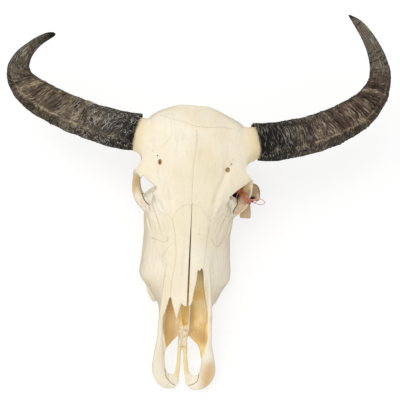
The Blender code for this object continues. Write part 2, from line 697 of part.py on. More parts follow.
def split_bones(whole, where):
    """Parts the cut skull into its loose pieces, named by where they lie."""
    bm = bmesh.new()
    bm.from_mesh(whole.data)
    bm.faces.ensure_lookup_table()
    group_of = [-1] * len(bm.faces)
    groups = []
    for start in bm.faces:
        if group_of[start.index] >= 0:
            continue
        group, edge = [], [start]
        group_of[start.index] = len(groups)
        while edge:
            face = edge.pop()
            group.append(face.index)
            for side in face.edges:
                for other in side.link_faces:
                    if group_of[other.index] < 0:
                        group_of[other.index] = len(groups)
                        edge.append(other)
        groups.append(group)
    bm.free()
    bones = {}
    for group in groups:
        if len(group) < SMALLEST_BONE:
            continue
        piece = bmesh.new()
        piece.from_mesh(whole.data)
        piece.faces.ensure_lookup_table()
        kept = set(group)
        bmesh.ops.delete(piece, geom=[f for f in piece.faces if f.index not in kept], context="FACES")
        centre = sum((v.co for v in piece.verts), Vector()) / len(piece.verts)
        name = min(BONE_SEEDS, key=lambda seed: (centre - Vector(BONE_SEEDS[seed])).length)
        mesh = bpy.data.meshes.new(name)
        bmesh.ops.triangulate(piece, faces=piece.faces[:])
        piece.to_mesh(mesh)
        piece.free()
        bones[name] = add_object(name, mesh, where)
    bpy.data.objects.remove(whole)
    return bones


def cheek_teeth(side, helpers):
    """The six cheek teeth of one side."""
    teeth, start = [], TOOTH_ROW_START
    for tooth in CHEEK_TEETH:
        teeth.append(cheek_tooth(tooth, start, side, f"{tooth.name}_{'left' if side > 0 else 'right'}", helpers))
        start += tooth.length
    return teeth


def floor_box(helpers):
    """Everything below the floor, to trim what stands on it to small flats."""
    up = Vector((0.0, math.sin(FACE_SLOPE), math.cos(FACE_SLOPE)))
    centre = Vector((0.0, 0.3, floor_z(0.3))) - up * FLOOR_BOX / 2
    return block(centre, (FLOOR_BOX,) * 3, "floor_box", helpers, (-FACE_SLOPE, "X"))


def loop_of_band(knots, thickness, name, where, points=24):
    """A closed loop of round elastic."""
    curve = bpy.data.curves.new(name, "CURVE")
    curve.dimensions = "3D"
    curve.bevel_depth = thickness / 2
    curve.bevel_resolution = 0
    spline = curve.splines.new("POLY")
    line = smooth_curve(knots, points, closed=True)
    spline.points.add(len(line) - 1)
    for point, place in zip(spline.points, line):
        point.co = (*place, 1.0)
    spline.use_cyclic_u = True
    return baked(add_object(name, curve, where), name, where)


def tag(model, helpers):
    """The folded card with its eyelet, and the elastic loop that holds it."""
    half = CARD_THICKNESS / 2
    card = prism(CARD_OUTLINE, CARD_LEVEL - half, CARD_LEVEL + half, "tag_card", helpers)
    eye_x, eye_y, eye_r = EYELET
    combine(card, [ellipsoid((eye_x, eye_y, CARD_LEVEL), (eye_r, eye_r, 0.01), "eyelet", helpers)], "DIFFERENCE")
    band = loop_of_band(BAND_ROUND_BONE, BAND_THICKNESS, "tag_band", helpers)
    combine(band, [loop_of_band(BAND_LOOSE_END, LOOSE_END_THICKNESS, "loose_end", helpers)], "UNION")
    return {"tag_card": baked(card, "tag_card", model), "tag_band": baked(band, "tag_band", model)}


def material(name, colour, roughness):
    made = bpy.data.materials.new(name)
    made.use_nodes = True
    shader = made.node_tree.nodes["Principled BSDF"]
    shader.inputs["Base Color"].default_value = (*colour, 1.0)
    shader.inputs["Roughness"].default_value = roughness
    return made


def build():
    clear_scene()
    model = collection("buffalo_skull")
    helpers = collection("helpers")
    skull = fused([main_block(helpers)] + added_forms(helpers), "skull", helpers, BONE_TRIANGLES)
    beds = [
        horn_sheath(RIGHT_SHEATH, "bed_right", helpers, SHEATH_CLEARANCE),
        horn_sheath(LEFT_SHEATH, "bed_left", helpers, SHEATH_CLEARANCE),
    ]
    combine(skull, [floor_box(helpers)] + beds + sutures(helpers), "DIFFERENCE")
    parts = split_bones(baked(skull, "skull", helpers), model)
    for side, name in ((1.0, "maxilla_left"), (-1.0, "maxilla_right")):
        combine(parts[name], cheek_teeth(side, helpers), "UNION")
        parts[name] = baked(parts[name], name, model)
    parts["horn_right"] = horn_sheath(RIGHT_SHEATH, "horn_right", model)
    parts["horn_left"] = horn_sheath(LEFT_SHEATH, "horn_left", model)
    parts |= tag(model, helpers)
    rest = bpy.data.objects.new("rest_pose", None)
    model.objects.link(rest)
    rest.rotation_euler.x = FACE_SLOPE
    rest.location = REST_SHIFT
    for name, obj in parts.items():
        look = {"horn": HORN, "tag_card": CARD, "tag_band": ELASTIC}.get(name if "tag" in name else name[:4], BONE)
        made = material(f"{name}_{look[0]}", look[1], look[2])
        obj.data.materials.clear()
        obj.data.materials.append(made)
        obj.data.shade_smooth()
        obj.data.set_sharp_from_angle(angle=SHARP_EDGE)
        if look is BONE:
            leaned(obj)
        obj.parent = rest
    return parts


build()
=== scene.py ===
"""Looks of a dry water buffalo skull with its horn sheaths and a blank card tag on an elastic loop.

The bone is worked like clay: coarse forms are fused on a grid, their joints are filled, fine forms are
pressed in, then the nose, the foramina and the seams between the bones are cut, and every bone becomes its
own piece. All of that happens in the face frame, where x runs across the skull (+x is the animal's left),
y runs up the face from the tip of the upper jaw to the crown, and z stands out of the forehead. The last
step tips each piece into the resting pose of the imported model. Lengths are metres, but rows() and mm() take
them in millimetres.
"""

from __future__ import annotations

import logging
import math
from dataclasses import dataclass
from enum import Enum
from typing import Any, NamedTuple, Sequence

import bmesh
import bpy
import numpy as np
from mathutils import Matrix, Vector
from mathutils.bvhtree import BVHTree
from mathutils.kdtree import KDTree

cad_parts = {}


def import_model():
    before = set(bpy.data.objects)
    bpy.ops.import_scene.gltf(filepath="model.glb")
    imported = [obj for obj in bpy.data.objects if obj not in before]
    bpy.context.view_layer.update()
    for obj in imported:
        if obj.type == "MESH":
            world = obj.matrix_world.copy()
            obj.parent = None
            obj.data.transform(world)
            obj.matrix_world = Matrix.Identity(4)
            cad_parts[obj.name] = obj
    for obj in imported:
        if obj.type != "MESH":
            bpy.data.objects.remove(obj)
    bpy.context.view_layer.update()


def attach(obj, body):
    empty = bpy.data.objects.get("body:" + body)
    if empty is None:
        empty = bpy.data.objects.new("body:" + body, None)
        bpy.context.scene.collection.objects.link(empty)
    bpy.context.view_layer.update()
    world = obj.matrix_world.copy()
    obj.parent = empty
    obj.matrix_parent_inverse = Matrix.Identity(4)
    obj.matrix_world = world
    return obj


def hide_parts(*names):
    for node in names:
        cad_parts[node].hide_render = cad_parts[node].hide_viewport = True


log = logging.getLogger("buffalo_skull")

Mesh = bpy.types.Mesh
Object = bpy.types.Object
Material = bpy.types.Material
Array = np.ndarray
Pair = tuple[float, float]
Point = tuple[float, float, float]
Plan = Sequence[Pair]
Colour = Point

FACE_SLOPE = math.radians(15)
REST_SHIFT = Vector((-0.0059, -0.3389, 0.0624))
REST = Matrix.Translation(REST_SHIFT) @ Matrix.Rotation(FACE_SLOPE, 4, "X")
FLOOR_AT_MUZZLE = -0.0646
LEAN = 0.0275
LEAN_PIVOT = 0.264
LEAN_FADE = (0.06, 0.1)
SHARP_EDGE = math.radians(42)
# plane waves in one pattern of ripples
WAVES = 14
# from one tooth of a seam to the next, and how far a groove's cutter stands above the bone
TOOTH_STEP = 0.0026
GROOVE_LIP = 0.0015
# z below and above all of the bone
LOW, HIGH = -0.2, 0.03
# a Mix node's sockets for colours
MIX_SHARE, MIX_A, MIX_B, MIX_COLOUR = 0, 6, 7, 2
WHITE = (1, 1, 1, 1)


class Bar(NamedTuple):
    """One cross-section of a bar of bone or horn: its centre, its width across and its thickness."""

    x: float
    y: float
    z: float
    width: float
    thick: float


Bars = tuple[Bar, ...]


class Station(NamedTuple):
    """One cross-section of the skull block: heights on the midline, and (x, z) of brow, cheek and jaw."""

    y: float
    top: float
    brow: Pair
    cheek: Pair
    jaw: Pair
    palate: float


class Ball(NamedTuple):
    """An ellipsoid: its centre and three radii."""

    centre: Point
    radii: Point


class Press(NamedTuple):
    """A form pressed into or raised on the surface along a line in plan, with its half width and height."""

    line: Plan
    spread: float
    height: float


class Groove(NamedTuple):
    """A shallow seam on the face: its line in plan, the swing of its teeth, its width and its depth."""

    line: Plan
    swing: float
    width: float
    depth: float


class Waves(NamedTuple):
    """Soft irregular waves: their height, the typical distance between crests, and which pattern."""

    height: float
    wavelength: float
    seed: int

    def over(self, places: Array) -> Array:
        """The height of the waves at each point."""
        random = np.random.default_rng(self.seed)
        total = np.zeros(len(places))
        for _ in range(WAVES):
            direction = unit(random.normal(size=3))
            length = self.wavelength * random.uniform(0.7, 1.6)
            total += np.sin(places @ direction * (math.tau / length) + random.uniform(0, math.tau))
        return self.height * (total / math.sqrt(WAVES))


class Mark(NamedTuple):
    """A place of another colour: its name, its line in plan, its half width, its soft edge, its heights."""

    name: str
    line: Plan
    spread: float
    soft: float
    low: float = -1
    high: float = 1


class Side(Enum):
    """The animal's own left or right."""

    LEFT = 1.0
    RIGHT = -1.0

    @property
    def tag(self) -> str:
        """The word used in piece names."""
        return self.name.lower()


def mm(values: Any) -> Any:
    """The same nested values, with every number turned from millimetres into metres."""
    if isinstance(values, tuple):
        parts = [mm(value) for value in values]
        return type(values)(*parts) if hasattr(values, "_fields") else tuple(parts)
    return values / 1000 if isinstance(values, (int, float)) else values


def rows(kind: type, *values: tuple) -> tuple:
    """A named tuple of one kind for each row, from millimetres."""
    return tuple(kind(*mm(row)) for row in values)


# ---- curves and meshes


def curve_through(knots: Sequence, count: int, closed: bool = False) -> Array:
    """Points of a Catmull-Rom curve through the knots, evenly spaced by knot.

    Args:
        knots: Rows of numbers, one row for each knot.
        count: How many points to return.
        closed: Whether the last knot joins the first.

    Returns:
        An array of count rows.
    """
    knots = np.asarray(knots, float)
    if closed:
        padded = np.vstack([knots[-1:], knots, knots[:2]])
    else:
        padded = np.vstack([2 * knots[0] - knots[1], knots, 2 * knots[-1] - knots[-2]])
    spans = len(padded) - 3
    t = np.linspace(0, spans, count, endpoint=not closed)
    i = np.minimum(t.astype(int), spans - 1)
    s = (t - i)[:, None]
    a, b, c, d = (padded[i + k] for k in range(4))
    bend, twist = 2 * a - 5 * b + 4 * c - d, 3 * b - a - 3 * c + d
    return 0.5 * (2 * b + (c - a) * s + bend * s**2 + twist * s**3)


def unit(vectors: Array) -> Array:
    """Rows scaled to length one."""
    return vectors / np.maximum(np.linalg.norm(vectors, axis=-1, keepdims=True), 1e-12)


def smoothstep(low: float, high: float, values: Array) -> Array:
    """0 below low, 1 above high and a smooth rise between."""
    t = np.clip((values - low) / (high - low), 0, 1)
    return t * t * (3 - 2 * t)


def bell(distance: Array, spread: float) -> Array:
    """A smooth bump of height one that falls off over the spread."""
    return np.exp(-((distance / spread) ** 2))


def run_along(points: Array) -> Array:
    """The distance from the first point to each of the others, along the line."""
    return np.concatenate([[0], np.cumsum(np.linalg.norm(np.diff(points, axis=0), axis=1))])


def distance_to_line(places: Array, line: Plan) -> Array:
    """Distance in plan from each point to a line of (x, y) points."""
    best = np.full(len(places), np.inf)
    for (ax, ay), (bx, by) in zip(line, line[1:]):
        along = np.array([bx - ax, by - ay])
        offset = places[:, :2] - (ax, ay)
        t = np.clip(offset @ along / max(along @ along, 1e-12), 0, 1)
        best = np.minimum(best, np.hypot(*(offset - t[:, None] * along).T))
    return best


def read_rows(items: Any, key: str, width: int = 3, kind: type = float) -> Array:
    """One row of numbers for each of a mesh's items."""
    flat = np.empty(width * len(items), kind)
    items.foreach_get(key, flat)
    return flat.reshape(-1, width)


def positions(mesh: Mesh) -> Array:
    """The mesh's vertex positions, one row each."""
    return read_rows(mesh.vertices, "co")


def normals(mesh: Mesh) -> Array:
    """The mesh's vertex normals, one row each."""
    return read_rows(mesh.vertex_normals, "vector")


def set_positions(mesh: Mesh, places: Array) -> None:
    """Moves the mesh's vertices."""
    mesh.vertices.foreach_set("co", places.ravel())
    mesh.update()


class Neighbours:
    """Averages over each vertex's neighbours along the mesh's edges."""

    def __init__(self, mesh: Mesh) -> None:
        """Reads the edges once."""
        ends = read_rows(mesh.edges, "vertices", 2, np.int32)
        self.a, self.b = ends.T
        self.size = len(mesh.vertices)
        self.count = np.maximum(np.bincount(ends.ravel(), minlength=self.size), 1)

    def average(self, values: Array) -> Array:
        """The mean of the neighbours' values."""
        columns = values.reshape(self.size, -1).T
        total = [
            np.bincount(self.a, weights=column[self.b], minlength=self.size)
            + np.bincount(self.b, weights=column[self.a], minlength=self.size)
            for column in columns
        ]
        return (np.array(total) / self.count).T.reshape(values.shape)

    def softened(self, values: Array, passes: int) -> Array:
        """The values after some passes of mixing with their neighbours' mean."""
        for _ in range(passes):
            values = values + 0.5 * (self.average(values) - values)
        return values


def tube(rings: Array, name: str) -> Mesh:
    """A closed tube through rings of points, made from a flat grid that is bent round and welded.

    Args:
        rings: An array of rings by points by three coordinates.
        name: The mesh's name.

    Returns:
        The mesh, with its faces pointing outwards.
    """
    count, sides = rings.shape[:2]
    bm = bmesh.new()
    bmesh.ops.create_grid(bm, x_segments=sides, y_segments=count - 1, size=1)
    for vert in bm.verts:
        ring = round((vert.co.y + 1) / 2 * (count - 1))
        side = round((vert.co.x + 1) / 2 * sides) % sides
        vert.co = rings[ring, side]
    bmesh.ops.remove_doubles(bm, verts=bm.verts, dist=1e-7)
    bmesh.ops.holes_fill(bm, edges=[edge for edge in bm.edges if edge.is_boundary], sides=sides + 1)
    bmesh.ops.triangulate(bm, faces=[face for face in bm.faces if len(face.verts) > 4])
    bmesh.ops.recalc_face_normals(bm, faces=bm.faces)
    return mesh_of(bm, name)


def mesh_of(bm: bmesh.types.BMesh, name: str) -> Mesh:
    """Turns a bmesh into a mesh and frees it."""
    mesh = bpy.data.meshes.new(name)
    bm.to_mesh(mesh)
    bm.free()
    return mesh


def joined(meshes: Sequence[Mesh], name: str) -> Mesh:
    """One mesh that holds all the others' shells; the others are removed."""
    bm = bmesh.new()
    for mesh in meshes:
        bm.from_mesh(mesh)
        bpy.data.meshes.remove(mesh)
    return mesh_of(bm, name)


def turns_of(count: int) -> Array:
    """Angles once round a circle."""
    return np.linspace(0, math.tau, count, endpoint=False)


def circle(sides: int) -> Array:
    """A unit circle of points."""
    turns = turns_of(sides)
    return np.stack([np.cos(turns), np.sin(turns)], axis=1)


def mirrored_ring(half: Plan, y: float, count: int) -> Array:
    """A closed ring across the skull at y, from one half of its (x, z) outline, midline to midline."""
    ring = curve_through([*half, *((-x, z) for x, z in half[-2:0:-1])], count, closed=True)
    return np.column_stack([ring[:, 0], np.full(len(ring), y), ring[:, 1]])


def bar_rings(sections: Sequence[Bar], count: int, outline: Array, round_from: float = 1) -> Array:
    """Rings of a section outline carried along a bar's centre line.

    Args:
        sections: The bar's cross-sections.
        count: How many rings.
        outline: The section's outline in halves of its width and thickness.
        round_from: The share of the length past which the outline rounds off to a circle.

    Returns:
        An array of rings by points by three coordinates.
    """
    line = curve_through(sections, count)
    middle = line[:, :3]
    along = unit(np.vstack([middle[1:2] - middle[:1], middle[2:] - middle[:-2], middle[-1:] - middle[-2:-1]]))
    steep = (np.abs(along[:, 2]) >= 0.7)[:, None]
    upright = np.where(steep, (0, 1, 0), (0, 0, 1))
    across = unit(np.cross(along, upright))
    depth = np.cross(across, along)
    inward = -1 if middle[-1, 0] > middle[0, 0] else 1
    mix = np.clip((np.linspace(0, 1, count) - round_from) / (1 - round_from + 1e-9), 0, 1)
    mix = mix[:, None, None]
    shape = outline * (1 - mix) + circle(len(outline)) * mix
    wide = inward * shape[..., :1] * line[:, None, 3:4] / 2
    deep = shape[..., 1:] * line[:, None, 4:5] / 2
    return middle[:, None] + across[:, None] * wide + depth[:, None] * deep


def bar(sections: Sequence[Bar], side: Side, outline: Array | None = None, rings: int = 60) -> Mesh:
    """A bar of bone lofted along its centre line on one side of the skull."""
    sections = [s._replace(x=side.value * s.x) for s in sections]
    return tube(bar_rings(sections, rings, circle(24) if outline is None else outline), "bar")


def ball(shape: Ball, side: Side = Side.LEFT, turn: float = 0, detail: int = 4) -> Mesh:
    """An ellipsoid on one side of the skull, turned about z."""
    bm = bmesh.new()
    bmesh.ops.create_icosphere(bm, subdivisions=detail, radius=1)
    x, y, z = shape.centre
    turned = Matrix.Rotation(side.value * turn, 4, "Z") @ Matrix.Diagonal((*shape.radii, 1))
    bm.transform(Matrix.Translation((side.value * x, y, z)) @ turned)
    return mesh_of(bm, "ball")


def block(centre: Point, sizes: Point, turn: float = 0, axis: str = "X") -> Mesh:
    """A box of three sizes, turned about one axis."""
    bm = bmesh.new()
    bmesh.ops.create_cube(bm, size=1)
    bm.transform(Matrix.Translation(centre) @ Matrix.Rotation(turn, 4, axis) @ Matrix.Diagonal((*sizes, 1)))
    return mesh_of(bm, "block")


def linked(name: str, data: bpy.types.ID) -> Object:
    """A new object in the scene."""
    made = bpy.data.objects.new(name, data)
    bpy.context.scene.collection.objects.link(made)
    return made


def settled(worker: Object) -> Mesh:
    """The object's final mesh; the object is removed."""
    graph = bpy.context.evaluated_depsgraph_get()
    mesh = bpy.data.meshes.new_from_object(worker.evaluated_get(graph))
    bpy.data.objects.remove(worker)
    return mesh


def applied(mesh: Mesh, *modifiers: tuple[str, dict]) -> Mesh:
    """The mesh after some modifiers; the old mesh is removed.

    Args:
        mesh: The mesh to work on.
        modifiers: Each modifier's type with its settings.

    Returns:
        A new mesh with nothing live on it.
    """
    worker = linked("worker", mesh)
    for kind, settings in modifiers:
        modifier = worker.modifiers.new(kind.lower(), kind)
        for key, value in settings.items():
            setattr(modifier, key, value)
    result = settled(worker)
    result.name = mesh.name
    bpy.data.meshes.remove(mesh)
    return result


def regrid(mesh: Mesh, voxel: float) -> Mesh:
    """The union of the mesh's shells, meshed anew on a grid."""
    return applied(mesh, ("REMESH", {"mode": "VOXEL", "voxel_size": voxel}))


def smoothed(mesh: Mesh, passes: int) -> Mesh:
    """The mesh with its bumps evened out."""
    edges = Neighbours(mesh)
    set_positions(mesh, edges.softened(positions(mesh), passes))
    return mesh


def swollen(mesh: Mesh, distance: float) -> Mesh:
    """The mesh moved out along its own normals."""
    set_positions(mesh, positions(mesh) + distance * normals(mesh))
    return mesh


def cut(mesh: Mesh, cutter: Mesh) -> Mesh:
    """The mesh with the cutter's space taken out; the cutter is removed."""
    tool = linked("cutter", cutter)
    mesh = applied(mesh, ("BOOLEAN", {"operation": "DIFFERENCE", "solver": "MANIFOLD", "object": tool}))
    bpy.data.objects.remove(tool)
    bpy.data.meshes.remove(cutter)
    return mesh


def resampled(line: Sequence, step: float) -> Array:
    """Points along a line, about a step apart."""
    points = np.asarray(line, float)
    run = run_along(points)
    at = np.linspace(0, run[-1], max(2, round(run[-1] / step) + 1))
    return np.stack([np.interp(at, run, column) for column in points.T], axis=1)


def toothed(line: Plan, step: float, swing: float, seed: int) -> tuple[Array, Array]:
    """A line with small teeth to either side, as a bone's edge has.

    Args:
        line: The line's points in two dimensions.
        step: The distance between one tooth and the next.
        swing: How far the teeth reach to each side.
        seed: Which pattern.

    Returns:
        The points, and the direction across the line at each of them.
    """
    points = resampled(line, step)
    along = np.gradient(points, axis=0)
    across = unit(np.stack([-along[:, 1], along[:, 0]], axis=1))
    reach = np.random.default_rng(seed).uniform(0.3, 1, len(points)) * np.resize((1, -1), len(points))
    reach[[0, -1]] = 0
    return points + across * (swing * reach)[:, None], across


def wall(outline: Array, low: float, high: float, sideways: bool = False, drift: Pair = (0, 0)) -> Mesh:
    """An outline raised from low to high: upright from a plan, or sideways from a (y, z) outline.

    Args:
        outline: The outline's points.
        low: Where it starts.
        high: Where it ends.
        sideways: Whether it runs along x and not along z.
        drift: How far the outline has moved across where it starts.

    Returns:
        The closed wall.
    """
    ends = [(low, outline + drift), (high, outline)]
    spans = [(np.full(len(line), value), line) for value, line in ends]
    columns = [(x, *line.T) if sideways else (*line.T, x) for x, line in spans]
    return tube(np.array([np.stack(column, axis=1) for column in columns]), "wall")


def blade(
    line: Plan, low: float, high: float, width: float, swing: float = 0, sideways: bool = False, seed: int = 1
) -> Mesh:
    """A thin wall along a line, to part two bones with.

    Args:
        line: The line in plan, or in (y, z) for a sideways blade.
        low: Where the wall starts.
        high: Where it ends.
        width: How thick it is.
        swing: How far its teeth reach.
        sideways: Whether it runs along x and not along z.
        seed: Which pattern of teeth.

    Returns:
        The closed wall.
    """
    points, across = toothed(line, TOOTH_STEP if swing else 0.01, swing, seed)
    outline = np.vstack([points + across * width / 2, (points - across * width / 2)[::-1]])
    return wall(outline, low, high, sideways)


class Surface:
    """Heights on a mesh, and distances to it."""

    def __init__(self, mesh: Mesh) -> None:
        """Reads the mesh into a search tree."""
        bm = bmesh.new()
        bm.from_mesh(mesh)
        self.tree = BVHTree.FromBMesh(bm)
        bm.free()

    def height(self, x: float, y: float) -> float:
        """z of the highest surface at a place in plan."""
        hit = self.tree.ray_cast(Vector((x, y, 0.2)), Vector((0, 0, -1)))[0]
        return hit.z if hit else 0

    def nearest(self, places: Array) -> tuple[Array, Array]:
        """How far each point lies outside the mesh, less than zero inside it, and the mesh's normal there."""
        far, facing = np.empty(len(places)), np.empty((len(places), 3))
        for i, place in enumerate(places):
            spot, normal, _, gap = self.tree.find_nearest(Vector(place))
            far[i] = math.copysign(gap, (Vector(place) - spot).dot(normal))
            facing[i] = normal
        return far, facing

    def laid_on(self, places: Array, clearance: float) -> Array:
        """The points, with those that are too close or inside moved out to stand clear of the mesh."""
        far, facing = self.nearest(places)
        return places + facing * np.maximum(clearance - far, 0)[:, None]


def groove(surface: Surface, seam: Groove, seed: int) -> Mesh:
    """A cutter for a shallow seam that follows the surface."""
    points, across = toothed(curve_through(seam.line, 6 * len(seam.line)), 0.0024, seam.swing, seed)
    wide, narrow = seam.width / 2 * 1.3, seam.width / 2 * 0.5
    corners = (wide, GROOVE_LIP), (narrow, -seam.depth), (-narrow, -seam.depth), (-wide, GROOVE_LIP)
    rings = []
    for (x, y), (ax, ay) in zip(points, across):
        z = surface.height(x, y)
        rings.append([(x + ax * shift, y + ay * shift, z + rise) for shift, rise in corners])
    return tube(np.array(rings), "groove")


# ---- the bone


@dataclass
class SkullClay:
    """The skull's bone, from its coarse forms to the separate bones."""

    coarse: float = 0.0018
    fine: float = 0.0012
    fillet: float = 0.003
    stations: tuple[Station, ...] = rows(
        Station,
        (46, -36, (31, -39), (40, -46), (33, -54), -54), (70, -27, (33, -31), (45, -48), (37, -63), -60),
        (100, -10, (35, -19), (47, -48), (40, -72), -64), (136, -4, (34, -12), (48.5, -56), (43, -84), -67),
        (152, -3, (34, -11), (56, -64), (54, -92), -69), (170, -3, (34, -11), (69, -72), (64, -99), -72),
        (191, -1, (34, -9), (83, -76), (69, -108), -76), (225, 0, (36, -8), (80, -71), (71, -115), -81),
        (270, 2, (38, -7), (77.5, -66), (71, -127), -90), (310, 3, (44, -5), (81, -60), (66, -136), -100),
        (334, 5, (60, -6), (64, -48), (36, -122), -110), (352, 8, (78, -8), (49, -42), (28, -118), -119),
        (378, 11, (104, -13), (46, -50), (27, -122), -128), (400, 14, (94, -15), (49, -60), (30, -128), -134),
        (430, 15, (93, -16), (57, -78), (42, -134), -142), (458, 10, (88, -20), (80, -94), (58, -138), -148),
        (476, -2, (79, -26), (80, -96), (50, -140), -146), (492, -18, (56, -34), (56, -84), (28, -114), -126),
        (505, -36, (27, -43), (24, -70), (12, -92), -98),
    )
    filled_bars: tuple[Bars, ...] = (
        # cheek bone
        rows(Bar, (62, 304, -62, 20, 32), (81.5, 317, -67, 19, 29), (94.5, 333, -71, 20, 24),
            (102, 356, -77, 15.5, 21), (100, 384, -84, 10, 18), (93, 408, -90, 9, 16), (83, 432, -96, 12, 17),
            (72, 448, -101, 18, 18)),
        # bar behind the eye
        rows(Bar, (99.5, 345, -79, 18.5, 14), (101, 358, -60, 17.5, 12), (101.5, 370, -38, 16.5, 11),
            (100, 379, -21, 16, 11), (90, 386, -14, 18, 11), (74, 392, -11, 20, 12)),
        # brow rim
        rows(Bar, (48, 332, -12, 14, 14), (66, 343, -13, 12, 12), (76, 355.5, -13, 11, 10),
            (88, 369, -14, 11, 10), (99, 379, -18, 12, 10)),
        # tear bone
        rows(Bar, (50, 342, -38, 34, 34), (66, 340, -46, 24, 26), (78, 331, -60, 20, 20),
            (88, 326, -68, 16, 18)),
        # process beside the condyle
        rows(Bar, (54, 464, -122, 26, 22), (52, 458, -150, 20, 16), (50, 452, -178, 13, 11),
            (49, 449, -192, 10, 8)),
        # ridge that carries the cheek teeth
        rows(Bar, (53, 141, -86, 9, 10), (56, 150, -90, 13, 16), (62, 175, -97, 22, 20),
            (64, 225, -110, 26, 24), (63, 270, -122, 26, 24), (60, 305, -130, 22, 22)),
    )
    crisp_bars: tuple[Bars, ...] = (
        # pterygoid
        rows(Bar, (26, 296, -122, 8, 26), (27, 325, -128, 6, 42), (27, 355, -128, 6, 40),
            (26, 380, -126, 7, 18)),
    )
    one_side_bars: tuple[tuple[Side, Bars], ...] = (
        # sides of the premaxilla
        (Side.RIGHT, rows(Bar, (37.5, 215, -13, 5, 8), (40.5, 175, -19, 7.5, 10), (44.5, 115, -28, 9.5, 14),
            (45, 85, -34, 10.5, 16), (45.5, 62, -38, 15.5, 17), (45.5, 42, -42, 21, 17),
            (44.5, 20, -45, 25.5, 16), (34.5, 2, -47, 24, 12), (22, -4, -48, 18, 9), (12, -4, -49, 10, 7))),
        (Side.LEFT, rows(Bar, (35, 215, -11, 6, 8), (38.5, 175, -18, 8.5, 10), (42, 130, -25, 10, 14),
            (41.2, 100, -31, 14, 15), (41.5, 75, -35, 15, 16), (44, 45, -41, 24, 17), (44, 20, -45, 28.5, 16),
            (33.5, 2, -47, 26, 12), (20, -4, -48, 19, 9), (9.5, -4, -49, 10, 7))),
        # rods of the premaxilla beside the midline
        (Side.RIGHT, rows(Bar, (12, -4, -49, 9.5, 7), (12.5, 8, -49, 12, 7), (10.7, 18, -50, 9.4, 7),
            (9.1, 32, -51, 7.6, 7.5), (8.7, 46, -52, 7, 8), (7.7, 60, -54, 6.6, 9), (7.2, 78, -55, 7.5, 9),
            (6.6, 100, -57, 8.5, 10))),
        (Side.LEFT, rows(Bar, (11, -4, -49, 13, 7), (10.2, 9, -49, 14, 7), (6.6, 19, -50, 10.4, 7),
            (4.2, 33, -51, 8.6, 7.5), (3.3, 47, -52, 8, 8), (2.2, 61, -54, 8.4, 9), (1.2, 80, -56, 8, 9),
            (1, 105, -58, 9, 10))),
        # floor, right lip and thin left wall of the trough along the nose
        (Side.RIGHT, rows(Bar, (3.5, 200, -56, 13, 22), (3.5, 150, -55, 13, 20), (3.5, 118, -54, 13, 18),
            (3.3, 95, -54, 13, 14), (3, 74, -54, 11, 10))),
        (Side.RIGHT, rows(Bar, (11.8, 165, -40, 4.6, 22), (10.3, 135, -40, 5, 18), (8.6, 120, -42, 5.6, 16),
            (6.4, 106, -45, 7.8, 16), (5, 92, -49, 10, 13), (4.2, 76, -52, 9, 10))),
        (Side.LEFT, rows(Bar, (4.8, 250, -42, 2.2, 40), (5.2, 160, -38, 2.4, 26), (5.8, 120, -37, 2.8, 22),
            (5.6, 98, -42, 3.4, 16), (4.8, 84, -49, 3.4, 10))),
        # front end of the right tooth ridge
        (Side.RIGHT, rows(Bar, (66, 168, -90, 13, 16), (61.2, 152, -91, 11, 13), (58.2, 144, -92, 9.2, 8),
            (56.2, 140, -92, 6.4, 5))),
        # lips of bone inside the eye sockets
        (Side.RIGHT, rows(Bar, (83.8, 337, -45.5, 6.6, 2.6), (76, 343.2, -40, 7.2, 2.8),
            (67, 350, -33, 7, 2.8))),
        (Side.LEFT, rows(Bar, (68, 345.8, -35, 6, 2.6), (75.5, 343.7, -41.5, 6.4, 2.8),
            (84, 338.8, -53, 5.2, 2.8))),
        # outer edges of the left cheek bone
        (Side.LEFT, rows(Bar, (106.2, 375, -33, 7, 6), (108.5, 362, -45, 5, 6), (108.8, 350, -52, 4.4, 6),
            (105, 340, -60, 6, 6))),
        (Side.LEFT, rows(Bar, (106.2, 336.2, -63, 7, 8), (102.6, 329.7, -61.5, 7.5, 8),
            (90.3, 317, -60, 7.5, 8), (86, 312.2, -60, 6, 8))),
    )
    core_root: Bars = rows(Bar, (40, 430, -30, 94, 46), (78, 433.5, -33, 76, 54))
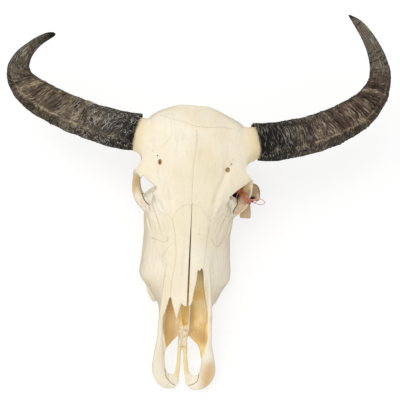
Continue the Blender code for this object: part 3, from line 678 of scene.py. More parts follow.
    # how far past the rim, how much slimmer all round than the horn, and how much lower
    core_steps: tuple[Point, ...] = mm(((-11, 3.6, 3.5), (0, 4.8, 1.8), (11, 4.8, 1.8)))
    filled_balls: tuple[Ball, ...] = rows(
        Ball,
        ((27, 468, -148), (17, 24, 21)), ((68, 428, -110), (16, 17, 22)),
    )
    crisp_balls: tuple[Ball, ...] = rows(Ball, ((24, 3, -50), (18, 11, 5)))
    lumps: tuple[Ball, ...] = rows(
        Ball,
        # crumbled end of the trough
        ((-9.2, 103, -40), (3, 6.2, 4.6)), ((-3, 101, -40), (3.6, 4.6, 4.6)), ((2.4, 103, -40), (3, 5.8, 5)),
        ((-7.5, 92.5, -43.5), (3.6, 4.8, 4.6)), ((1, 90.5, -43), (4.2, 5, 5)),
        ((-4.6, 85.5, -46), (3.8, 5.6, 4.4)), ((2.2, 79, -48), (3.6, 6, 4.6)), ((-3, 74.5, -49), (3.4, 5, 4)),
        ((3.4, 69, -50), (3.2, 5, 4.4)),
        # folds beside the first right cheek tooth
        ((-68.8, 163, -84), (2.6, 7.6, 3.6)), ((-64, 158.5, -83.8), (2.4, 7.8, 3.6)),
        ((-60.2, 152, -84.6), (2.2, 6.4, 3.6)), ((-57, 146.5, -86.8), (2.6, 4, 3.2)),
    )
    one_line: float = 0.006
    presses: tuple[Press, ...] = rows(
        Press,
        # furrow below each supraorbital foramen
        (((60, 390), (56, 374), (48.5, 357), (41.5, 332)), 5.2, -2.8),
        (((41.5, 332), (37.5, 305)), 5.2, -1.6),
        # low arch of the nasal bones
        (((0, 150), (0, 300)), 19, 2),
        # wavy furrows below each eye
        (((69.3, 315.7), (64, 302), (59, 289.3)), 1.9, -0.8),
        (((76.1, 316.2), (72.5, 306), (67.2, 297.8)), 1.9, -0.8),
        (((80.2, 303.6), (77, 293), (73.4, 284)), 1.9, -0.8),
        (((52, 312.2), (44, 311), (39.5, 307.4)), 1.9, -0.6),
        # line where the two frontal bones met
        (((3, 455), (3, 440), (1, 405), (-1, 385), (0, 326)), 1.6, -0.5),
        # soft step where the horn's root rises from the forehead
        (((80, 398), (79, 430), (75, 462)), 11, 1.9),
        # sunken shelf behind the front rim of the premaxilla
        (((28, 12), (18, 4), (11, 2)), 5.5, -1),
        # low crest from the eye corner to the horn
        (((104, 386), (94, 402), (90, 416)), 6, 1.2),
        # bulge of the forehead's sides
        (((45, 400), (48, 430), (40, 455)), 20, 1.6),
    )

    swells: Waves = Waves(0.00022, 0.034, 3)
    dimples: Waves = Waves(0.00006, 0.009, 4)
    fibres: Waves = Waves(0.00007, 0.0042, 7)
    # furrows that fan out over the cheek bones, and where they fade out
    fan: Waves = Waves(0.00048, 0.0058, 6)
    fan_inner: Pair = mm((32, 46))
    fan_lower: Pair = mm((262, 284))
    fan_upper: Pair = mm((322, 340))
    choana: Ball = mm(Ball((0, 345, -134), (17, 55, 26)))
    brain_door: Ball = mm(Ball((0, 500, -122), (14, 30, 16)))
    holes: tuple[Ball, ...] = rows(
        Ball,
        # nerve holes of the cheek, the palate, the temple, the ear and the skull's base
        ((70, 176, -62), (12, 4.6, 3.6)), ((24, 276, -100), (2.4, 5, 16)), ((86, 428, -104), (16, 4.8, 4.8)),
        ((38, 448, -142), (4.2, 5.6, 10)), ((30, 395, -134), (4, 8, 10)),
    )
    brow_holes: tuple[tuple[Side, Ball], ...] = (
        (Side.RIGHT, mm(Ball((59.2, 396.2, 0), (3, 5, 6.2)))),
        (Side.LEFT, mm(Ball((61.2, 390.9, 0), (4.2, 4.5, 4)))),
    )
    scoops: tuple[tuple[Side, Ball, float], ...] = (
        # hollow faces of the cheek bones below the eyes
        (Side.LEFT, mm(Ball((93.5, 324.5, -51.5), (18, 7.8, 8.5))), 49),
        (Side.RIGHT, mm(Ball((91.5, 328.5, -52), (17.5, 6, 6))), 49),
    )
    socket_edge: Plan = mm((
        (99, 371.2), (86.1, 360.5), (78, 353.5), (70.7, 345.8), (66.8, 342.5), (72, 338.5), (80, 340),
        (87, 347), (91.5, 356), (95, 365),
    ))
    socket_heights: Pair = mm((-38, 30))
    notches: tuple[tuple[Plan, Pair], ...] = mm((
        # between the horns and the brows
        (((-113.7, 410.4), (-104.8, 408.8), (-100.2, 405.9), (-97.4, 401.9), (-96.2, 396.6), (-97, 390.5),
            (-100.2, 385.5), (-104.1, 380.7), (-107.9, 377.3), (-113.9, 375), (-121.5, 385.7),
            (-121.1, 404.7)), (1.2, 10)),
        (((111, 409.9), (104, 409.2), (97.7, 407.2), (92.3, 404.2), (88.7, 399.9), (87.1, 394.5),
            (88.4, 387.7), (91.9, 382.7), (95.8, 378.6), (99, 374.7), (104.8, 373), (115.4, 385.1),
            (117.3, 407.9)), (30, 9.5)),
    ))
    pits: tuple[Point, ...] = mm((
        (-63.8, 407, 1.3), (67.3, 401.2, 1.3), (70, 409.9, 0.6), (-74.2, 415.7, 0.6), (48.4, 438, 0.5),
        (3.3, 447.4, 0.6), (4, 440, 0.8), (3.6, 434, 0.6), (1.1, 326.8, 0.7), (15.5, 282.6, 0.6),
        (14.9, 273.5, 0.8), (18, 264.7, 0.6), (-41, 195, 0.7), (45, 205, 0.7),
    ))
    grooves: tuple[Groove, ...] = rows(
        Groove,
        # behind the forehead, from horn to horn
        (((-61.4, 480.8), (-40.9, 474.3), (-21.8, 470.3), (-2.5, 463.7), (20.6, 462.7), (45, 465.2),
            (66.5, 464.5)), 0.4, 0.8, 1),
        # round the right horn's root
        (((-43.5, 470.4), (-41.2, 461.9), (-40.8, 452.5), (-42.5, 444.3), (-51.3, 428.9), (-57.7, 421.7)),
            0.2, 0.6, 0.7),
        # between the frontal bones
        (((3.3, 457), (4, 437), (2, 415), (0, 394.7), (-0.5, 357.3), (0.1, 325)), 0.5, 0.6, 0.9),
        # between the cheek and tear bones
        (((-67.3, 260), (-59, 257.8), (-51.6, 256.1), (-44.3, 255.6), (-39, 260), (-42.8, 265.2)), 0.9, 1, 1),
        (((38.8, 268.2), (43.8, 256.7), (48.6, 253), (54, 254.6), (58.4, 258.5), (65.3, 270.8)), 0.9, 1, 1),
        # behind the front rim of the premaxilla
        (((-33.8, 25), (-32, 13), (-27.8, 5.5), (-19.5, -2.8), (-9, -6.2)), 0, 1.4, 2.4),
        (((28.4, 25), (28.2, 13), (26.2, 4.7), (18.8, -1.8), (6, -6)), 0, 1.4, 2.4),
        # clefts between the cheek bones and the tear bones
        (((-89.8, 339.9), (-86.3, 330.8), (-81.6, 324.5), (-75.8, 319.4)), 0.3, 1.2, 3),
        (((-79.7, 332.2), (-65.5, 346.5), (-64, 348.5), (-67, 351.5)), 0.2, 0.9, 1.8),
        (((86.8, 337.5), (87.6, 332.5), (84.6, 326.2), (79.7, 317.5), (80, 313.2)), 0.8, 1.2, 3),
        # crack through the crumbled end of the trough
        (((-10.5, 91), (-9, 84), (-5.5, 74), (-5, 68)), 0.8, 0.7, 2),
        # over the left brow, beside the nerve hole
        (((70, 409.9), (67.3, 401.2), (64, 396)), 0.4, 0.5, 0.6),
    )
    nasal_opening: Plan = mm((
        (-34.5, 30), (-37.2, 62), (-39.8, 80), (-40.3, 100), (-39.6, 122), (-36.2, 140), (-30.6, 162.5),
        (-26.3, 145.7), (-21.9, 132.3), (-17.9, 117.8), (-14.8, 132.7), (-12.7, 146.5), (-12, 152.4),
        (-7.9, 147.1), (-3, 145.5), (3.5, 146), (6.3, 150.2), (10.3, 174.9), (14.2, 194.8), (15, 208),
        (15.4, 218), (17.4, 212), (18.6, 207), (20.6, 211), (22.4, 216.5), (24.6, 210.5), (26.8, 199),
        (28.6, 179.7), (33, 155.1), (37.4, 134.2), (37.4, 118.4), (34.5, 100.5), (34, 84.8), (32.6, 68.9),
        (31.2, 60), (30, 30),
    ))
    palate_gaps: tuple[Plan, ...] = mm((
        ((-11.6, 30), (-11.6, 50), (-11, 64), (5.5, 64), (6.2, 50), (6.2, 30)),
        ((-11.1, 85.4), (-18.5, 77.9), (-26.2, 69.4), (-33, 61), (-35, 46.8), (-34.5, 30.8), (-32.2, 16.9),
            (-27.9, 10), (-17.8, 10.5), (-13.2, 23.9), (-11.9, 40), (-11.3, 60), (-10.8, 76.3)),
        ((5.3, 86.3), (4.3, 77.1), (5.6, 57.1), (8.4, 37.1), (14.2, 17.3), (20.6, 10.4), (28.3, 20),
            (31, 38.3), (30.3, 54.4), (25.5, 68.3), (15.8, 77.8)),
    ))
    palate_heights: Pair = mm((-120, -25))
    eye_gap: Plan = mm((
        (-90.7, 371.2), (-79.5, 362.4), (-67.9, 353.8), (-76, 347.8), (-85.7, 341.6), (-90, 349),
        (-93.8, 357.6), (-92.5, 365),
    ))
    eye_gap_drift: Pair = mm((1.6, 2.2))
    cavity_rows: tuple[tuple[float, float, float, float], ...] = mm((
        (22, 33, 4, -46), (60, 37, -4, -47), (100, 39.2, -11, -44), (128, 37.8, -10, -41), (150, 34, -9, -38),
        (175, 32.5, -8, -34), (200, 32.5, -7, -30), (250, 34, -6, -34), (285, 37.5, -5, -52),
        (334, 36, -4, -75),
    ))
    cavity_half: Plan = ((0, 0), (0.8, 0.05), (1, 0.27), (0.97, 0.52), (0.72, 0.88), (0, 1))
    gap: float = 0.0003
    face_edge: Plan = mm((
        (0, 324.5), (11, 323.5), (20, 318), (29, 307), (33.7, 297.5), (40, 305), (48, 302), (58, 311),
        (69, 307.5), (80, 315), (130, 318),
    ))
    midline: Plan = mm(((-3, -30), (-3.2, 70), (-4.2, 88), (-3.4, 105), (-1, 130), (0, 160), (0, 326.2)))
    split_left: Plan = mm(((0.6, 325), (0.7, 300), (1.2, 260), (1.7, 200), (2, 130)))
    split_right: Plan = mm(((-0.2, 325), (-0.3, 300), (-1, 260), (-1.5, 200), (-1.8, 130)))
    nasal_edge_right: Plan = mm((
        (-30.2, 156), (-30.8, 170), (-30, 185), (-27.6, 201), (-25, 220), (-24.2, 240), (-26.1, 263.3),
        (-29.5, 281.2), (-33.8, 300),
    ))
    nasal_edge_left: Plan = mm((
        (26, 195), (26.4, 208), (26.2, 218), (27.2, 228), (28.4, 240), (29.5, 260), (31.8, 276), (34.5, 300),
    ))
    nasal_floor: float = -0.019
    premaxilla_edge: Plan = mm(((175, -26), (115, -38), (66.5, -47.5), (66, -200)))
    premaxilla_tops: tuple[tuple[Side, float, float], ...] = mm((
        (Side.LEFT, 26.2, 212), (Side.RIGHT, 23.8, 230),
    ))
    premaxilla_foot: float = 0.014
    outside: float = 0.08
    trough_cut: Point = mm((-2.7, 66.5, -115))
    occiput_cut: Point = mm((0, 460, -95))
    cheek_root: Plan = mm(((79, 296), (85, 345)))
    brow_cut: Point = mm((103, 376, -29))
    arch_cut: Point = mm((93, 404, -90))
    seeds: tuple[tuple[str, Point], ...] = mm((
        ("cranium", (0, 400, -60)), ("occipital_bone", (0, 466, -133)), ("zygomatic_left", (98, 359, -67)),
        ("zygomatic_right", (-98, 359, -67)), ("maxilla_left", (50, 220, -80)),
        ("maxilla_right", (-50, 220, -80)), ("nasal_bone_left", (18, 250, -4)),
        ("nasal_bone_right", (-18, 230, -4)), ("premaxilla_left", (35, 70, -35)),
        ("premaxilla_right", (-35, 70, -35)),
    ))
    smallest: int = 400

    # a nearly black sheet across the depth of the left eye socket, as painted shade
    membrane_bars: Bars = rows(
        Bar,
        (44, 345, -100, 30, 2), (60, 348, -100, 34, 1.2), (80, 351, -96, 36, 1), (93, 354, -88, 32, 1),
        (99, 356, -80, 22, 1.2),
    )

    membrane_waves: tuple[Waves, Waves] = Waves(0.0016, 0.016, 40), Waves(0.0006, 0.005, 41)

    def membrane(self) -> Mesh:
        """A nearly black sheet across the depth of the left eye socket, wrinkled and slightly torn, as
        painted shade.
        """
        mesh = bar(self.membrane_bars, Side.LEFT, circle(60), rings=90)
        places = positions(mesh)
        folds, wrinkles = self.membrane_waves
        places[:, 2] += folds.over(places * (1, 0.7, 0)) + wrinkles.over(places * (1, 1, 0))
        set_positions(mesh, places)
        return mesh

    def skull_block(self) -> Mesh:
        """The fused bones as one loft through the stations."""
        knots = [[s.y, s.top, *s.brow, *s.cheek, *s.jaw, s.palate] for s in self.stations]
        rings = [
            mirrored_ring([(0, top), (bx, bz), (cx, cz), (jx, jz), (0, palate)], y, 96)
            for y, top, bx, bz, cx, cz, jx, jz, palate in curve_through(knots, 150)
        ]
        return tube(np.array(rings), "skull_block")

    def horn_core(self, sheath: HornSheath) -> Mesh:
        """The core, from its root in the skull into the sheath's socket along the sheath's own line."""
        first, second = (Vector(sheath.sections[i][:3]) for i in (0, 1))
        onward = (second - first).normalized()
        sections = [s._replace(x=sheath.side.value * s.x) for s in self.core_root]
        rim = sheath.sections[0]
        for step, play, drop in self.core_steps:
            x, y, z = first + onward * step
            sections.append(Bar(x, y - drop, z, rim.width - 2 * play, rim.thick - 2 * play))
        return tube(bar_rings(sections, 60, sheath.outline()), "core")

    def blank(self, sheaths: Sequence[HornSheath]) -> Mesh:
        """The coarse forms fused, with every joint between them filled to a soft fillet."""
        forms = [self.skull_block()] + [self.horn_core(sheath) for sheath in sheaths]
        for side in Side:
            forms += [bar(sections, side) for sections in self.filled_bars]
            forms += [ball(shape, side) for shape in self.filled_balls]
        mesh = smoothed(regrid(joined(forms, "bone"), self.coarse), 4)
        mesh = smoothed(regrid(swollen(mesh, self.fillet), self.coarse), 4)
        return smoothed(swollen(mesh, -self.fillet), 3)

    def hollowed(self, mesh: Mesh) -> Mesh:
        """The nose, its opening, the palate's gaps, the choana and the brain's door taken out."""
        doors = joined([ball(self.choana), ball(self.brain_door)], "doors")
        gaps = [wall(curve_through(gap, 90, closed=True), *self.palate_heights) for gap in self.palate_gaps]
        eye = curve_through(self.eye_gap, 60, closed=True)
        eye_gap = wall(eye, -0.16, HIGH, drift=self.eye_gap_drift)
        for cutter in (self.nose_cavity(), self.nose_opening(), doors, *gaps, eye_gap):
            mesh = cut(mesh, cutter)
        return mesh

    def whole(self, sheaths: Sequence[HornSheath]) -> Mesh:
        """All of the bone as one closed mesh, hollowed, with its thin forms added."""
        forms = [self.hollowed(self.blank(sheaths))]
        forms += [ball(lump, detail=3) for lump in self.lumps]
        forms += [bar(sections, side) for side, sections in self.one_side_bars]
        for side in Side:
            forms += [bar(sections, side) for sections in self.crisp_bars]
            forms += [ball(shape, side) for shape in self.crisp_balls]
        mesh = smoothed(regrid(joined(forms, "bone"), self.fine), 3)
        log.info("bone clay: %d faces", len(mesh.polygons))
        return mesh

    def pressed(self, mesh: Mesh) -> Mesh:
        """Furrows, crests and a slight unevenness worked into the surface."""
        places, facing = positions(mesh), normals(mesh)
        upward = smoothstep(0.1, 0.55, facing[:, 2])
        rise = np.zeros(len(places))
        for line, spread, height in self.presses:
            far = distance_to_line(places, line)
            if abs(line[0][0]) > self.one_line:
                far = np.minimum(far, distance_to_line(places, [(-x, y) for x, y in line]))
            rise += height * bell(far, spread) * upward
        rise += self.swells.over(places) + self.dimples.over(places)
        x, y, _ = np.abs(places).T
        above, below = smoothstep(*self.fan_upper, y), smoothstep(*self.fan_lower, y)
        fan = np.stack([x - 0.42 * (y - 0.28), 0.14 * y, 0.4 * places[:, 2]], axis=1)
        rise += self.fan.over(fan) * (smoothstep(*self.fan_inner, x) * below * (1 - above))
        rise += self.fibres.over(places * (1, 0.12, 0.6)) * upward
        set_positions(mesh, places + facing * rise[:, None])
        return mesh

    def nose_cavity(self) -> Mesh:
        """The inside of the nose as a solid."""
        rings = []
        for y, half, roof, floor in curve_through(self.cavity_rows, 70):
            edge = [(across * half, roof + down * (floor - roof)) for across, down in self.cavity_half]
            rings.append(mirrored_ring(edge, y, 80))
        return tube(np.array(rings), "nose_cavity")

    def nose_opening(self) -> Mesh:
        """The opening of the nose with its slightly uneven edge."""
        points, _ = toothed([*self.nasal_opening, self.nasal_opening[0]], 0.004, 0.0002, 5)
        return wall(points[:-1], -0.03, 0.04)

    def seams(self) -> list[Mesh]:
        """Cutters for the seams between the bones, one after another."""
        gap = self.gap
        face_edge = [(-x, y) for x, y in self.face_edge[:0:-1]] + list(self.face_edge)
        split = np.vstack([resampled(self.split_left, 0.004), resampled(self.split_right, 0.004)[::-1]])
        nasal_edges = [
            blade(curve_through(edge, 30), self.nasal_floor, HIGH, gap, swing=0.0004, seed=22)
            for edge in (self.nasal_edge_right, self.nasal_edge_left)
        ]
        walls = [block(self.trough_cut, (0.024, gap, 0.15), math.radians(-22), "Z")]
        walls.append(block(self.occiput_cut, (0.24, 0.2, gap), math.radians(54)))
        tops, edges, roots, brows, arches = [], [], [], [], []
        for side, inner, top in self.premaxilla_tops:
            slant = [(top + 0.038, 0.006), (top, self.nasal_floor - 0.0005)]
            edge = [(top + 0.001, self.nasal_floor), *self.premaxilla_edge]
            at = side.value
            foot, outside = at * self.premaxilla_foot, at * self.outside
            tops.append(blade(slant, *sorted((at * inner, outside)), gap, sideways=True))
            edges.append(blade(edge, *sorted((foot, outside)), gap, sideways=True))
            roots.append(blade([(at * x, y) for x, y in self.cheek_root], LOW, self.nasal_floor, gap))
            (x, y, z), (u, v, w) = self.brow_cut, self.arch_cut
            brows.append(block((at * x, y, z), (0.04, 0.05, gap)))
            arches.append(block((at * u, v, w), (0.03, gap, 0.04)))
        cutters = [
            wall(split, -0.014, HIGH),
            blade(self.midline, LOW, HIGH, gap),
            blade(curve_through(face_edge, 90), LOW, HIGH, 0.6 * gap, swing=0.0007, seed=21),
        ]
        groups = nasal_edges, walls, tops, edges, roots, brows, arches
        return cutters + [joined(group, "seams") for group in groups]

    def details(self, mesh: Mesh) -> list[Mesh]:
        """Cutters for the nerve holes, the shallow seams and the pin holes."""
        surface = Surface(mesh)
        holes = [ball(hole, side, detail=3) for side in Side for hole in self.holes]
        for side, ((x, y, _), radii) in self.brow_holes:
            holes.append(ball(Ball((x, y, surface.height(side.value * x, y)), radii), side, detail=3))
        scoops = [ball(scoop, side, math.radians(turn)) for side, scoop, turn in self.scoops]
        trims = [wall(curve_through(self.socket_edge, 60, closed=True), *self.socket_heights)]
        for line, drift in self.notches:
            trims.append(wall(curve_through(line, 60, closed=True), LOW, HIGH, drift=drift))
        grooves = [groove(surface, seam, 30 + i) for i, seam in enumerate(self.grooves)]
        pits = [
            ball(Ball((x, y, surface.height(x, y)), (radius, 1.3 * radius, 3 * radius)), detail=2)
            for x, y, radius in self.pits
        ]
        return [joined(group, "details") for group in (holes, scoops, trims, grooves, pits)]

    def bones(self, sheaths: Sequence[HornSheath]) -> dict[str, Mesh]:
        """Every bone as a mesh of its own, still in the face frame and without the lean.

        Args:
            sheaths: The two horn sheaths, which the skull makes room for.

        Returns:
            The bones by name.
        """
        mesh = self.pressed(self.whole(sheaths))
        beds = joined([sheath.bed() for sheath in sheaths], "beds")
        cutters = [floor_box(), *self.details(mesh), beds, *self.seams()]
        for cutter in cutters:
            mesh = cut(mesh, cutter)
        found: dict[str, Mesh] = {}
        for piece in loose_pieces(linked("bone", mesh)):
            centre = Vector(positions(piece.data).mean(axis=0))
            name = min(self.seeds, key=lambda seed: (centre - Vector(seed[1])).length)[0]
            if len(piece.data.polygons) < self.smallest or name in found:
                log.info("crumb of %d faces near %s", len(piece.data.polygons), name)
            else:
                found[name] = piece.data
            bpy.data.objects.remove(piece)
        return found


def loose_pieces(whole: Object) -> list[Object]:
    """The object parted into its separate shells, largest first."""
    bpy.ops.object.select_all(action="DESELECT")
    whole.select_set(True)
    bpy.context.view_layer.objects.active = whole
    bpy.ops.object.mode_set(mode="EDIT")
    bpy.ops.mesh.select_all(action="SELECT")
    bpy.ops.mesh.separate(type="LOOSE")
    bpy.ops.object.mode_set(mode="OBJECT")
    return sorted(bpy.context.selected_objects, key=lambda piece: -len(piece.data.polygons))


def floor_z(y: float | Array) -> float | Array:
    """Face frame z of the floor below a place on the face."""
    return FLOOR_AT_MUZZLE - math.tan(FACE_SLOPE) * y


def floor_box() -> Mesh:
    """Everything below the floor."""
    size = 1.4
    up = Vector((0, math.sin(FACE_SLOPE), math.cos(FACE_SLOPE)))
    centre = Vector((0, 0.3, floor_z(0.3))) - up * size / 2
    return block(tuple(centre), (size, size, size), -FACE_SLOPE)


def leaned(mesh: Mesh) -> None:
    """Moves the midline across as it runs down the face, while the sides stay put."""
    places = positions(mesh)
    stay = smoothstep(*LEAN_FADE, np.abs(places[:, 0]))
    places[:, 0] += LEAN * (LEAN_PIVOT - places[:, 1]) * (1 - stay)
    set_positions(mesh, places)


# ---- the horns


@dataclass
class HornSheath:
    """One hollow-ended horn with its growth ridges."""

    side: Side
    sections: Bars
    seed: int
    slant: float
    swell_height: float
    rim_shift: float
    rim_lean: float
    outline_knots: Plan = (
        (0.97, 0.02), (0.72, 0.64), (0.18, 0.93), (-0.3, 0.98), (-0.6, 0.88), (-0.84, 0.5), (-1, -0.06),
        (-0.7, -0.7), (0, -1), (0.66, -0.74),
    )
    rings: int = 540
    sides: int = 160
    round_from: float = 0.55
    socket_depth: float = 0.015
    socket_wall: float = 0.0018
    room: float = 0.0011
    ridge_height: float = 0.00095
    ridge_span: Pair = mm((20, 360))
    ridge_pitch: Pair = mm((3.8, 7.8))
    ridge_widths: Pair = (0.0024, 0.0009)
    swell_pitch: Pair = mm((26, 46))
    swell_widths: Pair = (0.012, 0.005)
    ridge_ends: Pair = (0.58, 0.82)
    swell_ends: Pair = (0.66, 0.88)
    keel_turn: float = 2.2
    keel_height: float = 0.0009
    # waves, each with a number that is added to the horn's own seed
    wander: tuple[Waves, Waves] = Waves(0.003, 0.055, 0), Waves(0.0009, 0.015, 1)
    fray: tuple[Waves, Waves] = Waves(0.0016, 0.016, 7), Waves(0.0009, 0.003, 9)
    flutes: tuple[Waves, Waves] = Waves(1, 0.0045, 5), Waves(0.6, 0.0022, 6)
    flute_height: float = 0.0001
    flaking: Waves = Waves(0.62, 0.017, 10)
    lumps: Waves = Waves(0.00035, 0.03, 8)
    grain: Waves = Waves(0.00014, 0.005, 11)
    reach: Pair = mm((-347.7, 359.5))
    rim_fade: float = 0.035
    fray_reach: Pair = (-0.0034, 0.0007)
    tip_round: float = 0.0045

    def waves(self, waves: Waves, places: Array) -> Array:
        """The height of some waves at each point, in this horn's own pattern."""
        return waves._replace(seed=self.seed + waves.seed).over(places)

    def outline(self) -> Array:
        """The section's outline in halves of its width and thickness."""
        return curve_through(self.outline_knots, self.sides, closed=True)

    def lofted(self, count: int) -> Array:
        """The rings of the plain horn, with its rim set askew on the bone and its tip rounded off."""
        rings = bar_rings(self.sections, count, self.outline(), self.round_from)
        middle = rings.mean(axis=1)
        run = run_along(middle)
        upper = (rings[..., 1] - middle[:, None, 1]) / (self.sections[0].width / 2)
        fade = 1 - smoothstep(0, self.rim_fade, run)
        shift = (self.rim_shift + self.rim_lean * upper) * fade[:, None]
        left = np.clip((run[-1] - run) / self.tip_round, 0, 1)
        size = np.clip(np.sqrt(1 - (1 - left) ** 2), 0.08, 1)[:, None, None]
        rings = middle[:, None] + (rings - middle[:, None]) * size
        return rings - unit(middle[1] - middle[0]) * shift[..., None]

    def bed(self) -> Mesh:
        """A plain, slightly thicker horn that cuts its own place out of the bone."""
        rings = self.lofted(60)
        socket, onward = self.socket(rings, self.socket_wall + self.room)
        rim = grown(rings[0], self.room) - onward * self.room
        bottom = socket + onward * (self.socket_depth - self.room)
        rest = [grown(ring, self.room) for ring in rings[1:]]
        return tube(np.array([bottom, socket - onward * self.room, rim, *rest]), "bed")

    def socket(self, rings: Array, inset: float) -> tuple[Array, Array]:
        """The socket's rim inside the first ring, and the direction into the horn."""
        onward = unit(rings[1].mean(axis=0) - rings[0].mean(axis=0))
        return grown(rings[0], -inset), onward

    def crests(self, pitch: Pair, span: Pair, seed: int) -> Array:
        """Places along the horn where growth ridges stand, at uneven distances."""
        random = np.random.default_rng(seed)
        steps = random.uniform(*pitch, 200)
        places = span[0] + np.cumsum(steps)
        return places[places < span[1]]

    def mesh(self) -> Mesh:
        """The sheath with its ridges, flutes and frayed rim, and its pattern coordinates as attributes."""
        rings = self.lofted(self.rings)
        middle = rings.mean(axis=1)
        run = run_along(middle)
        radius = np.linalg.norm(rings - middle[:, None], axis=2)
        turns = turns_of(self.sides)
        around = np.stack([np.cos(turns), np.sin(turns)], axis=1)[None] * radius[..., None]
        lay = np.concatenate([np.broadcast_to(run[:, None, None], (*radius.shape, 1)), around], axis=2)
        along = self.slanted(lay)
        rise = self.relief(lay, along, run[-1])
        outward = unit(rings - middle[:, None])
        rings = rings + outward * rise[..., None]
        socket, onward = self.socket(rings, self.socket_wall)
        fray = self.waves(self.fray[0], lay[0] * 2) + self.waves(self.fray[1], lay[0])
        rings[0] -= onward * (np.clip(fray, *self.fray_reach) + 0.0002)[:, None]
        rings[..., 0] = np.clip(rings[..., 0], *self.reach)
        bottom = socket + onward * self.socket_depth
        mesh = tube(np.concatenate([[bottom, socket], rings]), f"sheath_{self.side.tag}")
        share = lay[..., 0] / run[-1]
        values = {"lay": np.concatenate([along[..., None], lay[..., 1:]], axis=2), "share": share}
        values["relief"] = rise / self.ridge_height
        values["shade"], values["keel"] = self.facets(np.broadcast_to(turns, share.shape), share)
        tag_from(mesh, rings, values)
        return mesh

    def slanted(self, lay: Array) -> Array:
        """Distance along the horn as its growth lines run: aslant, and wandering a little."""
        flat = lay.reshape(-1, 3)
        wander = self.waves(self.wander[0], flat) + self.waves(self.wander[1], flat)
        return (flat[:, 0] + wander + self.slant * flat[:, 1]).reshape(lay.shape[:2])

    def facets(self, turns: Array, share: Array) -> tuple[Array, Array]:
        """How far each point lies on the flanks and back, which get painted shade over their own darker horn,
        and on the worn edge below the front.

        Args:
            turns: The angle round the horn, from its inner curve over the front.
            share: The share of the horn's length.

        Returns:
            Both values, from 0 to 1.
        """
        keel = self.keel_turn
        front = smoothstep(0.1, 0.62, turns) * (1 - smoothstep(keel + 0.05, keel + 0.55, turns))
        worn = smoothstep(0.03, 0.12, share) * (1 - smoothstep(0.52, 0.68, share))
        return 1 - front, bell(turns - keel, 0.13) * worn

    def relief(self, lay: Array, along: Array, length: float) -> Array:
        """How far each point of the horn stands proud, from the growth ridges, swells, flutes and flaking.

        Args:
            lay: The points as on a straightened horn, in metres.
            along: The distance along the growth lines.
            length: The horn's length.

        Returns:
            A height for each point.
        """
        shape = lay.shape[:2]
        flat, along = lay.reshape(-1, 3), along.ravel()
        run = flat[:, 0]
        ends = [end * length for end in self.ridge_ends]
        fade = smoothstep(0.004, 0.08, run) * (1 - smoothstep(*ends, run))
        broken = np.clip(self.flaking.height + self.waves(self.flaking, flat * (0.5, 1, 1)), 0, 1.3)
        rise = np.zeros(len(flat))
        random = np.random.default_rng(self.seed + 2)
        for place in self.crests(self.ridge_pitch, self.ridge_span, self.seed + 3):
            offset = along - place
            width = np.where(offset < 0, *self.ridge_widths)
            rise += self.ridge_height * random.uniform(0.3, 1.25) * bell(offset, width) * fade * broken
        swells = 1 - smoothstep(*(end * length for end in self.swell_ends), run)
        for place in self.crests(self.swell_pitch, (0, length), self.seed + 4):
            offset = along - place
            width = np.where(offset < 0, *self.swell_widths)
            rise += self.swell_height * random.uniform(0.3, 1.1) * bell(offset, width) * swells
        stretched = flat * (0.16, 1, 1)
        flutes = self.waves(self.flutes[0], stretched) + self.waves(self.flutes[1], stretched)
        rise += self.flute_height * flutes * swells + self.waves(self.lumps, flat) * swells
        rise += self.waves(self.grain, flat) * (0.4 + 0.6 * swells)
        turns = np.arctan2(flat[:, 2], flat[:, 1]) % math.tau
        rise += self.keel_height * bell(turns - self.keel_turn, 0.16) * swells
        rise -= self.ridge_height * (0.4 + 0.6 * fade)
        return rise.reshape(shape)


def grown(ring: Array, distance: float) -> Array:
    """The ring made larger by a distance at its narrowest place."""
    centre = ring.mean(axis=0)
    half = np.linalg.norm(ring - centre, axis=1).min()
    return centre + (ring - centre) * (1 + distance / half)


def write(mesh: Mesh, name: str, values: Array) -> None:
    """Stores a number or a vector for each vertex under a name that a finish can read."""
    kind, key = ("FLOAT", "value") if values.ndim == 1 else ("FLOAT_VECTOR", "vector")
    attribute = mesh.attributes.new(name, kind, "POINT")
    attribute.data.foreach_set(key, values.astype(np.float32).ravel())


RIGHT_SHEATH = rows(
    Bar,
    (-107, 449.2, -35, 69, 56), (-138, 451.4, -39, 70.5, 57), (-201.9, 466.3, -48, 68, 55),
    (-250.5, 483.9, -56, 66, 52), (-292.3, 503.4, -61, 62, 48), (-320, 527, -61, 51, 41),
    (-326.5, 550, -58, 41.5, 35), (-320.5, 569, -53, 32, 28), (-308, 585, -47, 23.5, 22),
    (-293, 598.5, -42, 18, 17), (-276.5, 608, -37, 14, 13), (-263, 612.5, -33, 7, 7),
)
LEFT_SHEATH = rows(
    Bar,
    (109, 447, -35, 69.5, 56), (142, 450, -39, 72.5, 58), (206.4, 466.5, -48, 71.5, 57),
    (255.8, 488, -57, 70.5, 55), (303.1, 518.3, -62, 65, 51), (330, 552, -62, 52.5, 44),
    (338, 585, -59, 43, 37), (332.5, 612, -55, 36.2, 32), (322, 633, -50, 30, 27), (305, 657, -44, 23.8, 22),
    (284.3, 677.8, -38, 16.5, 16), (264, 691.2, -32, 3, 3),
)


# ---- the cheek teeth


class Tooth(NamedTuple):
    """One cheek tooth: its length along the row, its width, its distance to the floor, and its lobes."""

    length: float
    width: float
    short: float
    lobes: int


